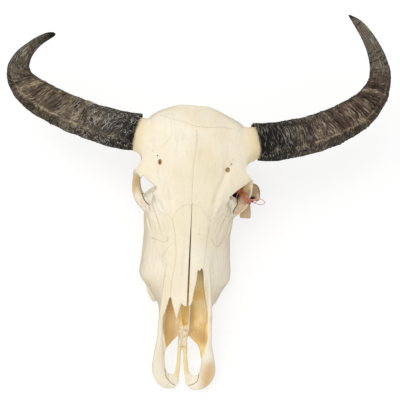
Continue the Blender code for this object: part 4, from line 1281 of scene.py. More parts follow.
@dataclass
class CheekTeeth:
    """The six upper cheek teeth of one side, with worn grinding faces."""

    side: Side
    teeth: tuple[Tooth, ...] = (
        Tooth(0.0165, 0.012, 0.0035, 1), Tooth(0.0195, 0.016, 0.002, 1), Tooth(0.02, 0.019, 0.001, 1),
        Tooth(0.026, 0.022, 0, 2), Tooth(0.03, 0.024, 0, 2), Tooth(0.034, 0.022, 0, 2),
    )
    row_start: float = 0.146
    row_outside: Plan = mm(((140, 57.5), (165, 67), (190, 71.5), (255, 72.5), (310, 69)))
    root: float = 0.02
    gap: float = 0.001
    plan: Plan = (
        (0, -1), (0, -0.55), (-0.12, -0.28), (0, 0), (-0.12, 0.42), (0, 1), (-0.62, 1),
        (-1, 0.55), (-0.86, 0), (-1, -0.55), (-0.62, -1),
    )
    taper: float = 0.08
    chamfer: float = 0.035
    basin: float = 0.0009
    pit: float = 0.0022

    def worn(self, spots: Array, rim: float, lobes: int) -> tuple[Array, Array]:
        """Depth of the grinding face, and how much of it is enamel.

        Args:
            spots: Places on the face as (across, along) shares.
            rim: How far out the ring of places lies, 1 at the tooth's edge.
            lobes: How many crescents the tooth has.

        Returns:
            The depth below the highest enamel, in metres, and the share of enamel.
        """
        enamel = bell(np.full(len(spots), rim - 0.93), 0.07)
        depth = np.full(len(spots), self.basin * (1 - float(smoothstep(0.86, 0.96, np.array(rim)))))
        centres = (0,) if lobes == 1 else (-0.48, 0.48)
        for centre in centres:
            reach = 0.52 if lobes == 1 else 0.3
            offset = np.hypot((spots[:, 0] + 0.5) / 0.24, (spots[:, 1] - centre) / reach)
            crest = bell(offset - 1, 0.26)
            enamel = np.maximum(enamel, crest)
            depth = np.where(offset < 1, self.pit * (1 - offset**2), depth) * (1 - 0.9 * crest)
        return depth, enamel

    def tooth(self, tooth: Tooth, start: float) -> Mesh:
        """One tooth from inside the bone down to its grinding face."""
        outline = curve_through(self.plan, 88, closed=True)
        middle = start + tooth.length / 2
        outside = np.interp(middle, *zip(*self.row_outside))
        slope = (np.interp(middle + 0.01, *zip(*self.row_outside)) - outside) / 0.01
        half = tooth.length / 2 - self.gap / 2
        rings, enamels = [], []
        levels = [(1, lift) for lift in np.linspace(1, 0, 14)]
        levels += [(rim, 0) for rim in np.linspace(0.98, 0.05, 26)]
        for rim, lift in levels:
            centre = np.array([-0.5, 0])
            spots = centre + (outline - centre) * rim
            chamfer = self.chamfer * (1 - lift) ** 6 if rim == 1 else self.chamfer
            narrow = 1 - self.taper * lift - chamfer
            y = middle + half * spots[:, 1] * narrow
            x = outside + slope * half * spots[:, 1] + (-0.5 + (spots[:, 0] + 0.5) * narrow) * tooth.width
            low = floor_z(y) + tooth.short
            if rim < 1:
                depth, enamel = self.worn(spots, rim, tooth.lobes)
            else:
                depth, enamel = np.zeros(len(spots)), np.full(len(spots), 0.8)
            rings.append(np.stack([self.side.value * x, y, low + lift * self.root + depth], axis=1))
            enamels.append(enamel)
        mesh = tube(np.array(rings), "tooth")
        tag_from(mesh, np.array(rings), {"enamel": np.array(enamels)})
        return mesh

    def build(self) -> Mesh:
        """The whole row as one mesh."""
        starts = self.row_start + np.concatenate([[0], np.cumsum([tooth.length for tooth in self.teeth])])
        return joined([self.tooth(tooth, start) for tooth, start in zip(self.teeth, starts)], "cheek_teeth")


def tag_from(mesh: Mesh, rings: Array, values: dict[str, Array]) -> None:
    """Gives each vertex the named values of the ring point it was made from.

    Args:
        mesh: A mesh made from the rings, perhaps with its vertices in another order.
        rings: The ring points.
        values: For each name, one number or vector for each ring point.
    """
    flat = rings.reshape(-1, 3)
    tree = KDTree(len(flat))
    for i, place in enumerate(flat):
        tree.insert(place, i)
    tree.balance()
    nearest = np.array([tree.find(place)[1] for place in positions(mesh)])
    for name, table in values.items():
        write(mesh, name, table.reshape(len(flat), -1).squeeze()[nearest])


# ---- the tag


@dataclass
class TagOnElastic:
    """A blank card tag that hangs behind the left eye socket on a knotted elastic thread."""

    outline: Plan = mm((
        (98.5, 306.6), (117, 306.6), (116.5, 337), (131, 340.5), (133, 352), (131.5, 362), (127, 369),
        (120, 372), (112.5, 371), (107.5, 366), (105.5, 345), (98.5, 337),
    ))
    level: float = -0.0955
    thickness: float = 0.0008
    eyelet: Point = mm((115.7, 343.3, 2.8))
    round_bone: tuple[Point, ...] = mm((
        (85, 356, -70), (89.5, 354.5, -59), (94.5, 349.5, -53), (100, 343, -52), (105, 339, -53.5),
        (111, 337.5, -64), (115, 340, -78), (115.7, 343.3, -95.5), (108, 347, -100), (93, 353, -99),
        (84, 356, -86),
    ))
    loops: tuple[tuple[Point, ...], ...] = mm((
        ((106.5, 339.2, -52), (121, 342.8, -52), (129.3, 343, -50.5), (136, 338.1, -50),
            (131.1, 333.1, -50.5), (121.5, 334.5, -52)),
        ((106, 339, -51.2), (114.2, 340.5, -51.8), (121.2, 338.7, -52), (114.6, 335.7, -52)),
    ))
    stray_ends: tuple[tuple[Point, ...], ...] = mm((
        ((94.5, 352, -54), (101.5, 352.5, -56), (106.7, 349.2, -60), (111, 350, -68), (114.5, 347, -80)),
        ((90, 359, -60), (86.2, 351, -58), (83.8, 343, -60), (85, 339, -64)),
    ))
    strands: int = 7
    strand_step: float = 0.0013
    strand_spread: Point = (0.6, 0.8, 0)
    fan_from: float = 0.106
    fan_length: float = 0.013
    strand: float = 0.00095
    loop: float = 0.00072
    knot_centre: Point = mm((105.5, 338.5, -51.5))
    knot_size: float = 0.003
    cord_knot: Point = mm((113.8, 343.2, -58))
    cord_knot_size: float = 0.0033
    cord_end: Point = mm((109.5, 334.2, -60))
    cord_end_size: float = 0.0008
    glare: Plan = mm(((128.8, 352), (130, 345)))
    glare_width: float = 0.0016
    rim_width: float = 0.0017
    lobe_from: Pair = mm((333, 342))

    def card(self) -> Mesh:
        """The card, slightly curled, with a punched hole."""
        plan = np.array(self.outline)
        (x0, y0), (x1, y1) = plan.min(axis=0), plan.max(axis=0)
        middle, spare = ((x0 + x1) / 2, (y0 + y1) / 2), 0.002
        bm = bmesh.new()
        bmesh.ops.create_grid(bm, x_segments=36, y_segments=64, size=0.5)
        bm.transform(Matrix.Diagonal((x1 - x0 + spare, y1 - y0 + spare, 1, 1)))
        bmesh.ops.translate(bm, verts=bm.verts, vec=(*middle, self.level - self.thickness / 2))
        bmesh.ops.solidify(bm, geom=bm.faces[:], thickness=self.thickness)
        bmesh.ops.recalc_face_normals(bm, faces=bm.faces)
        mesh = mesh_of(bm, "tag_card")
        size = 0.02
        edge = curve_through(plan, 240, closed=True)
        frame = block((*middle, self.level), (x1 - x0 + size, y1 - y0 + size, size))
        outside = cut(frame, wall(edge, self.level - size, self.level + size))
        x, y, radius = self.eyelet
        hole = wall(np.array([x, y]) + radius * circle(28), self.level - size, self.level + size)
        mesh = cut(cut(mesh, outside), hole)
        places = positions(mesh)
        # painted shade along the card's edge
        write(mesh, "rim", bell(distance_to_line(places, edge), self.rim_width))
        write(mesh, "glare", bell(distance_to_line(places, self.glare), self.glare_width))
        # painted shade on the upper lobe
        write(mesh, "lobe", smoothstep(*self.lobe_from, places[:, 1]))
        curl = 0.0005 * np.sin((places[:, 0] - x0) * 90)
        places[:, 2] += curl + 0.0004 * np.sin((places[:, 1] - y0) * 60)
        set_positions(mesh, places)
        return mesh

    def thread(self, points: Array, radius: float, closed: bool = True) -> Mesh:
        """A round thread along a line of points."""
        curve = bpy.data.curves.new("thread", "CURVE")
        curve.dimensions = "3D"
        curve.bevel_depth = radius
        curve.bevel_resolution = 3
        curve.use_fill_caps = not closed
        spline = curve.splines.new("POLY")
        spline.points.add(len(points) - 1)
        for point, place in zip(spline.points, points):
            point.co = (*place, 1)
        spline.use_cyclic_u = closed
        return settled(linked("thread", curve))

    def band(self, bone: Surface) -> Mesh:
        """The strands round the bone, fanned out on it, and their knot."""
        line = curve_through(self.round_bone, 150, closed=True)
        t = turns_of(len(line))[:, None]
        spread = smoothstep(0, 1, (self.fan_from - line[:, :1]) / self.fan_length)
        strands = []
        for i in range(self.strands):
            weave = 0.0007 * np.sin((3 + i % 2) * t + 2.1 * i) * np.array((0.3, 1, 0.3))
            across = (i - (self.strands - 1) / 2) * self.strand_step * (0.25 + 0.75 * spread)
            places = line + (weave + (0, 0, 0.0009 * (i % 3))) + across * np.array(self.strand_spread)
            strands.append(self.thread(bone.laid_on(places, self.strand), self.strand))
        strands.append(self.thread(self.knot(self.knot_centre, self.knot_size), self.strand * 1.2))
        end = bone.laid_on(curve_through(self.stray_ends[0], 40), self.loop)
        strands.append(self.thread(end, self.loop, closed=False))
        return joined(strands, "tag_band")

    def knot(self, centre: Point, size: float) -> Array:
        """A small overhand knot as a closed line."""
        u = turns_of(90)
        trefoil = np.sin(u) + 2 * np.sin(2 * u), np.cos(u) - 2 * np.cos(2 * u), -1.4 * np.sin(3 * u)
        return np.stack(trefoil, axis=1) * size / 2 + centre

    def dark_knot(self) -> Mesh:
        """The dark cord knotted through the card's hole."""
        x, y, _ = self.eyelet
        knots = [
            self.thread(self.knot(centre, size), self.strand * 1.3)
            for centre, size in ((self.cord_knot, self.cord_knot_size), (self.cord_end, self.cord_end_size))
        ]
        hanging = curve_through([self.cord_end, self.cord_knot, (x, y, -0.07), (x, y, -0.095)], 30)
        return joined([*knots, self.thread(hanging, self.strand, closed=False)], "dark_knot")

    def free_loop(self, bone: Surface) -> Mesh:
        """The loops that stand out beside the card, and the end that hangs into the eye socket."""
        threads = [self.thread(curve_through(loop, 90, closed=True), self.loop) for loop in self.loops]
        end = bone.laid_on(curve_through(self.stray_ends[1], 40), self.loop)
        return joined([*threads, self.thread(end, self.loop, closed=False)], "free_loop")


# ---- finishes


@dataclass(frozen=True, eq=False)
class Paint:
    """An output socket of a finish that takes part in plain arithmetic."""

    mixer: Mixer
    socket: bpy.types.NodeSocket

    def __add__(self, other: Amount) -> Paint:
        """The sum of two values."""
        return self.mixer.maths("ADD", self, other)

    __radd__ = __add__

    def __mul__(self, other: Amount) -> Paint:
        """The product of two values."""
        return self.mixer.maths("MULTIPLY", self, other)

    __rmul__ = __mul__

    def __sub__(self, other: Amount) -> Paint:
        """This value less another."""
        return self.mixer.maths("SUBTRACT", self, other)

    def __rsub__(self, other: Amount) -> Paint:
        """Another value less this one."""
        return self.mixer.maths("SUBTRACT", other, self)

    def rise(self, low: float, high: float) -> Paint:
        """0 below low, 1 above high and a smooth rise between."""
        settings = {"interpolation_type": "SMOOTHSTEP"}
        return self.mixer.node("ShaderNodeMapRange", settings, {0: self, 1: low, 2: high, 3: 0, 4: 1})


Amount = Paint | float


class Mixer:
    """A material in the making: its nodes, and the shader that they feed."""

    def __init__(self, name: str) -> None:
        """Starts a material with nothing but its shader."""
        self.material = bpy.data.materials.new(name)
        self.material.use_nodes = True
        self.tree = self.material.node_tree
        self.shader = self.tree.nodes["Principled BSDF"]

    def node(self, kind: str, settings: dict, inputs: dict, output: int = 0) -> Paint:
        """Adds one node.

        Args:
            kind: The node's type.
            settings: Its properties; stops are those of a colour ramp.
            inputs: A value or a link for each socket, by name or number.
            output: Which output is returned.

        Returns:
            The output socket.
        """
        made = self.tree.nodes.new(kind)
        for key, value in settings.items():
            if key == "stops":
                while len(made.color_ramp.elements) < len(value):
                    made.color_ramp.elements.new(0.5)
                for element, (place, colour) in zip(made.color_ramp.elements, value):
                    element.position, element.color = place, (*colour, 1)
            else:
                setattr(made, key, value)
        self.feed(made, inputs)
        return Paint(self, made.outputs[output])

    def feed(self, made: bpy.types.Node, inputs: dict) -> None:
        """Sets or links a node's sockets."""
        for key, value in inputs.items():
            if isinstance(value, Paint):
                self.tree.links.new(value.socket, made.inputs[key])
            else:
                made.inputs[key].default_value = value

    def maths(self, operation: str, a: Amount, b: Amount) -> Paint:
        """One Math node."""
        return self.node("ShaderNodeMath", {"operation": operation}, {0: a, 1: b})

    def object_space(self) -> Paint:
        """The object's own coordinates, in metres."""
        return self.node("ShaderNodeTexCoord", {}, {}, output=3)

    def attribute(self, name: str, vector: bool = False) -> Paint:
        """A number or a vector stored on the mesh."""
        return self.node("ShaderNodeAttribute", {"attribute_name": name}, {}, output=1 if vector else 2)

    def mapped(self, where: Paint, scale: Point, turn: Point = (0, 0, 0)) -> Paint:
        """Coordinates stretched and turned."""
        return self.node("ShaderNodeMapping", {}, {"Vector": where, "Rotation": turn, "Scale": scale})

    def noise(self, where: Paint, scale: float, detail: float = 3, roughness: float = 0.55) -> Paint:
        """Soft noise from 0 to 1."""
        inputs = {"Vector": where, "Scale": scale, "Detail": detail, "Roughness": roughness}
        return self.node("ShaderNodeTexNoise", {}, inputs)

    def cells(self, where: Paint, scale: float) -> Paint:
        """Distance to the nearest of many scattered points."""
        return self.node("ShaderNodeTexVoronoi", {}, {"Vector": where, "Scale": scale})

    def blend(self, a: Paint | Colour, b: Paint | Colour, share: Amount) -> Paint:
        """One colour mixed into another."""
        a, b = (value if isinstance(value, Paint) else (*value, 1) for value in (a, b))
        inputs = {MIX_SHARE: share, MIX_A: a, MIX_B: b}
        return self.node("ShaderNodeMix", {"data_type": "RGBA"}, inputs, output=MIX_COLOUR)

    def layered(self, colour: Paint | Colour, *coats: tuple[Paint | Colour, Amount]) -> Paint:
        """A colour under several coats, each with the share that it covers."""
        for tint, share in coats:
            colour = self.blend(colour, tint, share)
        return colour

    def ramp(self, share: Paint, *stops: tuple[float, Colour]) -> Paint:
        """A colour ramp."""
        return self.node("ShaderNodeValToRGB", {"stops": stops}, {0: share})

    def finished(
        self, colour: Paint, roughness: Paint, height: Paint, depth: float, **constants: Any
    ) -> Material:
        """Feeds the shader.

        Args:
            colour: The base colour.
            roughness: The roughness.
            height: The relief, from 0 to 1.
            depth: How deep a relief of 1 is, in metres.
            constants: Values of the shader's other sockets, by name with underscores.

        Returns:
            The material.
        """
        bump = self.node("ShaderNodeBump", {}, {"Height": height, "Distance": depth, "Strength": 1})
        self.feed(self.shader, {"Base Color": colour, "Roughness": roughness, "Normal": bump})
        for key, value in constants.items():
            self.shader.inputs[key.replace("_", " ")].default_value = value
        return self.material


@dataclass(frozen=True)
class BoneFinish:
    """Bleached dry bone, yellower in the nose and in its seams, with shade painted in its creases, on its
    sides and in some hollows.
    """

    cream: Colour = (0.78, 0.69, 0.505)
    ivory: Colour = (0.83, 0.765, 0.62)
    lichen: Colour = (0.6, 0.56, 0.4)
    # a darker tone for random streaks, and for painted shade on the sides
    flank: Colour = (0.52, 0.44, 0.31)
    # dark brown for specks and pores, and for painted shade with grime in the creases
    grime: Colour = (0.3, 0.19, 0.09)
    honey: Colour = (0.82, 0.63, 0.29)
    ochre: Colour = (0.76, 0.53, 0.2)
    amber: Colour = (0.54, 0.32, 0.12)
    marks: tuple[tuple[str, Colour], ...] = (
        ("pale", (0.83, 0.66, 0.37)), ("bright", (0.86, 0.77, 0.56)), ("wheat", (0.92, 0.78, 0.43)),
        ("lemon", (0.79, 0.63, 0.32)), ("olive", (0.61, 0.42, 0.17)), ("gold", (0.85, 0.56, 0.13)),
        ("straw", (0.73, 0.61, 0.37)), ("stain", (0.62, 0.4, 0.17)), ("rose", (0.72, 0.53, 0.36)),
        ("slate", (0.54, 0.49, 0.37)), ("umber", (0.09, 0.045, 0.025)),
    )
    # near black for painted shade deep in the left eye socket
    soot: Colour = (0.01, 0.006, 0.005)

    def paint(self, name: str) -> Material:
        """The material."""
        m = Mixer(name)
        where = m.object_space()
        large = m.noise(where, 11, 3).rise(0.34, 0.66)
        patchy = m.noise(where, 44, 5, 0.62)
        fine = m.noise(where, 420, 4, 0.6)
        combed = m.mapped(where, (1, 0.1, 0.35))
        fibres = m.noise(combed, 290, 4, 0.6)
        bands = m.noise(combed, 90, 3, 0.55)
        pores = 1 - m.cells(where, 620).rise(0.05, 0.24)
        porous = m.noise(where, 26, 2).rise(0.5, 0.7)
        specks = (1 - m.cells(where, 210).rise(0.03, 0.1)) * m.noise(where, 60).rise(0.54, 0.68)
        deep = m.layered(
            self.honey,
            (self.ochre, m.noise(where, 55, 3).rise(0.38, 0.62)),
            (self.amber, m.noise(combed, 60, 4, 0.6).rise(0.5, 0.7) * 0.55),
            (self.amber, m.attribute("amber") * (0.45 + patchy * 0.6)),
        )
        colour = m.layered(
            self.cream,
            (self.ivory, large),
            (self.lichen, patchy.rise(0.5, 0.74) * 0.34),
            (self.flank, bands.rise(0.5, 0.76) * 0.2),
            (self.flank, fibres.rise(0.54, 0.74) * 0.22),
            (self.grime, specks * 0.4),
            (self.grime, pores * porous * 0.2),
            # painted shade on the sides that face away from the top
            (self.flank, m.attribute("flank") * (0.4 + fibres * 0.9)),
            (deep, m.attribute("ochre")),
            *((tint, m.attribute(key) * (0.5 + patchy * 0.7)) for key, tint in self.marks),
            # painted shade with some grime in the creases
            (self.grime, m.attribute("crevice") * (0.25 + patchy * 0.5)),
            # painted shade deep in the left eye socket
            (self.soot, m.attribute("soot")),
        )
        roughness = 0.54 + fine * 0.16 + m.attribute("crevice") * 0.1
        height = fine * 0.25 + fibres * 0.45 + patchy * 0.35 - pores * porous * 0.5
        return m.finished(colour, roughness, height, 0.0005, IOR=1.48, Specular_IOR_Level=0.32)


@dataclass(frozen=True)
class MembraneFinish:
    """A nearly black sheet, as painted shade deep in the eye socket."""

    black: Colour = (0.006, 0.003, 0.002)
    brown: Colour = (0.045, 0.016, 0.01)
    dust: Colour = (0.3, 0.22, 0.17)

    def paint(self, name: str) -> Material:
        """The material."""
        m = Mixer(name)
        where = m.object_space()
        folds = m.noise(m.mapped(where, (1, 0.35, 1), (0, 0, 0.7)), 260, 4, 0.6)
        cloud = m.noise(where, 120, 3)
        grain = (self.brown, cloud.rise(0.42, 0.68) * 0.7), (self.dust, folds.rise(0.62, 0.74) * 0.3)
        colour = m.layered(self.black, *grain)
        return m.finished(colour, 0.62 + folds * 0.3, folds, 0.0008, Specular_IOR_Level=0.1)


@dataclass(frozen=True)
class HornFinish:
    """Old horn: black and scratched at the root, brown with pale lines in the middle, grey at the tip;
    painted highlights on its ridges, painted shade in their troughs and on its flanks.
    """

    root_share: float
    paleness: float
    scratched: float
    directions: tuple[float, ...]
    root: Colour
    brown: Colour
    tip: Colour
    black: Colour = (0.006, 0.005, 0.004)
    straw: Colour = (0.42, 0.33, 0.215)
    gold: Colour = (0.4, 0.27, 0.13)
    bright: Colour = (0.72, 0.62, 0.47)
    scratch: Colour = (0.46, 0.43, 0.37)
    fray: Colour = (0.2, 0.13, 0.07)
    fray_share: float = 0.0045

    def paint(self, name: str) -> Material:
        """The material."""
        m = Mixer(name)
        lay, share = m.attribute("lay", vector=True), m.attribute("share")
        relief, shade, keel = (m.attribute(key) for key in ("relief", "shade", "keel"))
        place = share + (m.noise(lay, 26, 4, 0.6) - 0.5) * 0.22
        ground = m.ramp(
            place,
            (0, self.black),
            (self.root_share * 0.7, self.root),
            (self.root_share * 1.7, self.brown),
            (0.66, self.brown),
            (0.78, self.tip),
            (0.93, self.tip),
            (0.99, self.black),
        )
        middle = share.rise(self.root_share * 0.5, self.root_share * 1.6) * (1 - share.rise(0.6, 0.78))
        mottle = m.noise(lay, 190, 5, 0.7)
        cloud = m.noise(lay, 60, 4, 0.6)
        lines = m.mapped(lay, (1, 0.12, 0.12))
        dark = m.noise(lines, 230, 3, 0.6).rise(0.5, 0.68)
        pale = m.noise(lines, 360, 3, 0.6).rise(0.54, 0.66)
        dashes = m.maths("MAXIMUM", self.dashes(m, lay, 300, 0.1), self.dashes(m, lay, 470, -0.06))
        strokes = self.scratches(m, lay)
        # painted highlights on the growth ridges' crests
        crest = relief.rise(0, 1.1) * middle * mottle.rise(0.4, 0.62)
        rooted = (1 - share.rise(self.root_share * 1.1, self.root_share * 2.4)) * cloud.rise(0.32, 0.54)
        flecks = (1 - m.cells(lay, 420).rise(0.12, 0.36)) * mottle.rise(0.44, 0.58)
        tipward = share.rise(0.6, 0.78) * (1 - share.rise(0.93, 0.98))
        fibres = m.noise(m.mapped(lay, (0.14, 1, 1)), 330, 3, 0.6).rise(0.52, 0.66)
        edge = keel * mottle.rise(0.44, 0.6) * cloud.rise(0.38, 0.58)
        colour = m.layered(
            ground,
            (self.straw, cloud.rise(0.44, 0.74) * middle * 0.2 * self.paleness),
            (self.black, mottle.rise(0.5, 0.66) * 0.5),
            (self.straw, pale * middle * cloud.rise(0.34, 0.6) * 0.75 * self.paleness),
            (self.black, dark * 0.85),
            # painted highlight on the ridges' crests
            (self.straw, crest * 0.75 * self.paleness),
            # painted shade in the troughs between the ridges
            (self.black, (1 - relief.rise(-1.6, -0.5)) * middle * 0.75),
            # short pale strokes, painted as glints on the growth ridges
            (self.bright, dashes * cloud.rise(0.42, 0.62) * (0.1 + middle * 0.75)),
            # painted shade on the flanks and back
            (self.black, shade * (0.5 + dark * 0.4)),
            (self.scratch, strokes * rooted * self.scratched),
            (self.gold, flecks * shade * middle),
            (self.scratch, m.maths("MAXIMUM", flecks, fibres * 0.6) * tipward * 0.75),
            (self.straw, edge * 0.75),
            (self.fray, (1 - share.rise(0, self.fray_share)) * mottle.rise(0.4, 0.55)),
        )
        roughness = 0.6 + mottle * 0.22 - share.rise(0.72, 0.9) * 0.14
        height = pale * 0.4 + mottle * 0.35 + strokes * 0.3 + dashes * 0.4 - dark * 0.5
        return m.finished(colour, roughness, height, 0.0008, IOR=1.5, Specular_IOR_Level=0.14)

    def dashes(self, m: Mixer, lay: Paint, scale: float, turn: float) -> Paint:
        """Short straight strokes across the horn, one in each long cell."""
        stretched = m.mapped(m.mapped(lay, (1, 1, 1), (0, 0, turn)), (1, 0.08, 0.08))
        return 1 - m.cells(stretched, scale).rise(0.13, 0.26)

    def scratches(self, m: Mixer, lay: Paint) -> Paint:
        """Thin pale strokes in several directions."""
        total = None
        for i, turn in enumerate(self.directions):
            stroke = self.dashes(m, lay, 450 + 60 * i, turn)
            total = stroke if total is None else m.maths("MAXIMUM", total, stroke)
        return total


RIGHT_HORN = HornFinish(
    root_share=0.2,
    paleness=1,
    scratched=0.85,
    directions=(0.12, 0.7, -0.55, 1.3, -1.15),
    root=(0.068, 0.06, 0.05),
    brown=(0.092, 0.066, 0.044),
    tip=(0.088, 0.07, 0.048),
)
LEFT_HORN = HornFinish(
    root_share=0.17,
    paleness=0.85,
    scratched=0.65,
    directions=(0, 0.1, -0.12, 0.05),
    root=(0.018, 0.015, 0.012),
    brown=(0.07, 0.044, 0.03),
    tip=(0.12, 0.096, 0.068),
)


@dataclass(frozen=True)
class ToothFinish:
    """Worn enamel round brown dentine."""

    enamel: Colour = (0.8, 0.74, 0.6)
    dentine: Colour = (0.4, 0.27, 0.14)
    tartar: Colour = (0.13, 0.085, 0.045)

    def paint(self, name: str) -> Material:
        """The material."""
        m = Mixer(name)
        where = m.object_space()
        patchy = m.noise(where, 240, 4)
        share = m.attribute("enamel")
        wear = (self.enamel, share.rise(0.25, 0.75)), (self.tartar, patchy.rise(0.5, 0.78) * 0.55)
        colour = m.layered(self.dentine, *wear)
        streaks = m.noise(m.mapped(where, (1, 1, 0.12)), 900, 3)
        roughness = 0.62 - share * 0.3 + patchy * 0.1
        return m.finished(colour, roughness, streaks * 0.6 + patchy * 0.4, 0.0003, IOR=1.6)


@dataclass(frozen=True)
class CardFinish:
    """Plain brown card with visible fibres, painted shade on its upper lobe and edge, and a painted
    highlight.
    """

    kraft: Colour = (0.62, 0.45, 0.25)
    light: Colour = (0.72, 0.56, 0.34)
    brown: Colour = (0.43, 0.29, 0.145)
    fibre: Colour = (0.1, 0.06, 0.03)
    white: Colour = (0.85, 0.8, 0.72)

    def paint(self, name: str) -> Material:
        """The material."""
        m = Mixer(name)
        where = m.object_space()
        cloud = m.noise(where, 120, 4)
        across = m.noise(m.mapped(where, (0.15, 1, 1), (0, 0, 0.6)), 1500, 2)
        along = m.noise(m.mapped(where, (1, 0.15, 1), (0, 0, -0.3)), 1500, 2)
        colour = m.layered(
            self.kraft,
            (self.light, cloud.rise(0.35, 0.65)),
            (self.fibre, across.rise(0.6, 0.74) * 0.5),
            (self.light, along.rise(0.62, 0.76) * 0.5),
            # painted shade on the upper lobe
            (self.brown, m.attribute("lobe") * (0.45 + cloud * 0.5)),
            # painted shade along the edge, deeper on the upper lobe
            (self.fibre, m.attribute("rim") * (0.35 + m.attribute("lobe") * 0.55)),
            (self.white, m.attribute("glare") * 0.85),
        )
        return m.finished(colour, 0.78 + cloud * 0.14, across * 0.5 + along * 0.5, 0.0001)


@dataclass(frozen=True)
class ElasticFinish:
    """Braided elastic thread."""

    bright: Colour
    deep: Colour

    def paint(self, name: str) -> Material:
        """The material."""
        m = Mixer(name)
        where = m.object_space()
        braid = m.cells(where, 1900)
        cloud = m.noise(where, 160, 2)
        colour = m.blend(self.bright, self.deep, braid.rise(0.2, 0.7) * 0.5 + cloud.rise(0.45, 0.7) * 0.4)
        return m.finished(colour, 0.5 + cloud * 0.12, 1 - braid, 0.0002)


@dataclass(frozen=True)
class FloorFinish:
    """A plain white studio floor, lit from below so that shadows on it stay pale."""

    white: Colour = (0.335, 0.335, 0.335)
    shade: Colour = (0.32, 0.32, 0.32)
    glow: float = 0.68

    def paint(self, name: str) -> Material:
        """The material."""
        m = Mixer(name)
        where = m.object_space()
        cloud = m.noise(where, 3, 2)
        colour = m.blend(self.white, self.shade, cloud)
        lit = {"Emission_Color": WHITE, "Emission_Strength": self.glow, "Specular_IOR_Level": 0}
        return m.finished(colour, 0.85 + cloud * 0.1, cloud, 0.0001, **lit)


# ---- the studio


@dataclass
class Studio:
    """A white floor, a soft light from the upper left, and the photograph's camera."""

    distance: float = 1.5
    target: Point = (0.0125, 0.3342, 0)
    swing: float = math.radians(4.5)
    roll: float = math.radians(3.9)
    half_view: float = 0.354
    floor_size: float = 14
    box_size: float = 2.2
    key_power: float = 41
    front_power: float = 14
    sky_power: float = 0.72
    warm_white: Colour = (1, 0.99, 0.97)

    def camera(self) -> None:
        """A camera that looks straight at the face, as the photograph does."""
        away = Vector((math.sin(self.swing), 0, -math.cos(self.swing)))
        sideways = Vector((math.cos(self.swing), 0, math.sin(self.swing)))
        upward = Vector((0, 1, 0))
        up = upward * math.cos(self.roll) - sideways * math.sin(self.roll)
        right = sideways * math.cos(self.roll) + upward * math.sin(self.roll)
        place = Vector(self.target) - away * self.distance
        frame = Matrix((right, up, -away)).transposed().to_4x4()
        data = bpy.data.cameras.new("camera")
        data.sensor_width = 36
        data.lens = 18 * self.distance / self.half_view
        data.clip_end = 50
        made = linked("camera", data)
        made.matrix_world = REST @ Matrix.Translation(place) @ frame
        bpy.context.scene.camera = made

    def light(self, name: str, place: Point, power: float) -> None:
        """A square soft box that points at the middle of the skull."""
        data = bpy.data.lights.new(name, "AREA")
        data.size = self.box_size
        data.energy = power
        data.color = self.warm_white
        aim = (Vector((0, 0, 0.05)) - Vector(place)).to_track_quat("-Z", "Y").to_matrix().to_4x4()
        linked(name, data).matrix_world = Matrix.Translation(place) @ aim

    def floor(self) -> None:
        """The floor under everything."""
        bm = bmesh.new()
        bmesh.ops.create_grid(bm, x_segments=8, y_segments=8, size=self.floor_size / 2)
        made = linked("floor", mesh_of(bm, "floor"))
        made.data.materials.append(FloorFinish().paint("floor"))

    def build(self) -> None:
        """Sets up the whole studio."""
        self.floor()
        self.camera()
        self.light("key", (-1.4, 0.5, 2.7), self.key_power)
        self.light("front", (0.6, -2.2, 2.4), self.front_power)
        world = bpy.data.worlds.new("studio")
        world.use_nodes = True
        background = world.node_tree.nodes["Background"]
        background.inputs["Color"].default_value = WHITE
        background.inputs["Strength"].default_value = self.sky_power
        bpy.context.scene.world = world
        bpy.context.scene.view_settings.view_transform = "Standard"


# ---- putting it together


def place(mesh: Mesh, name: str, slot: str, material: Material, *nodes: str) -> Object:
    """Brings a finished mesh into the resting pose as a piece of the model.

    Args:
        mesh: The mesh in the face frame.
        name: The piece's name.
        slot: Not used.
        material: Its finish.
        nodes: The nodes that it stands for.

    Returns:
        The piece.
    """
    mesh.transform(REST)
    mesh.materials.clear()
    mesh.materials.append(material)
    mesh.shade_smooth()
    mesh.set_sharp_from_angle(angle=SHARP_EDGE)
    mesh.name = name
    piece = linked(name, mesh)
    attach(piece, "root")
    if nodes:
        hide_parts(*nodes)
    log.info("%s: %d faces", name, len(mesh.polygons))
    return piece


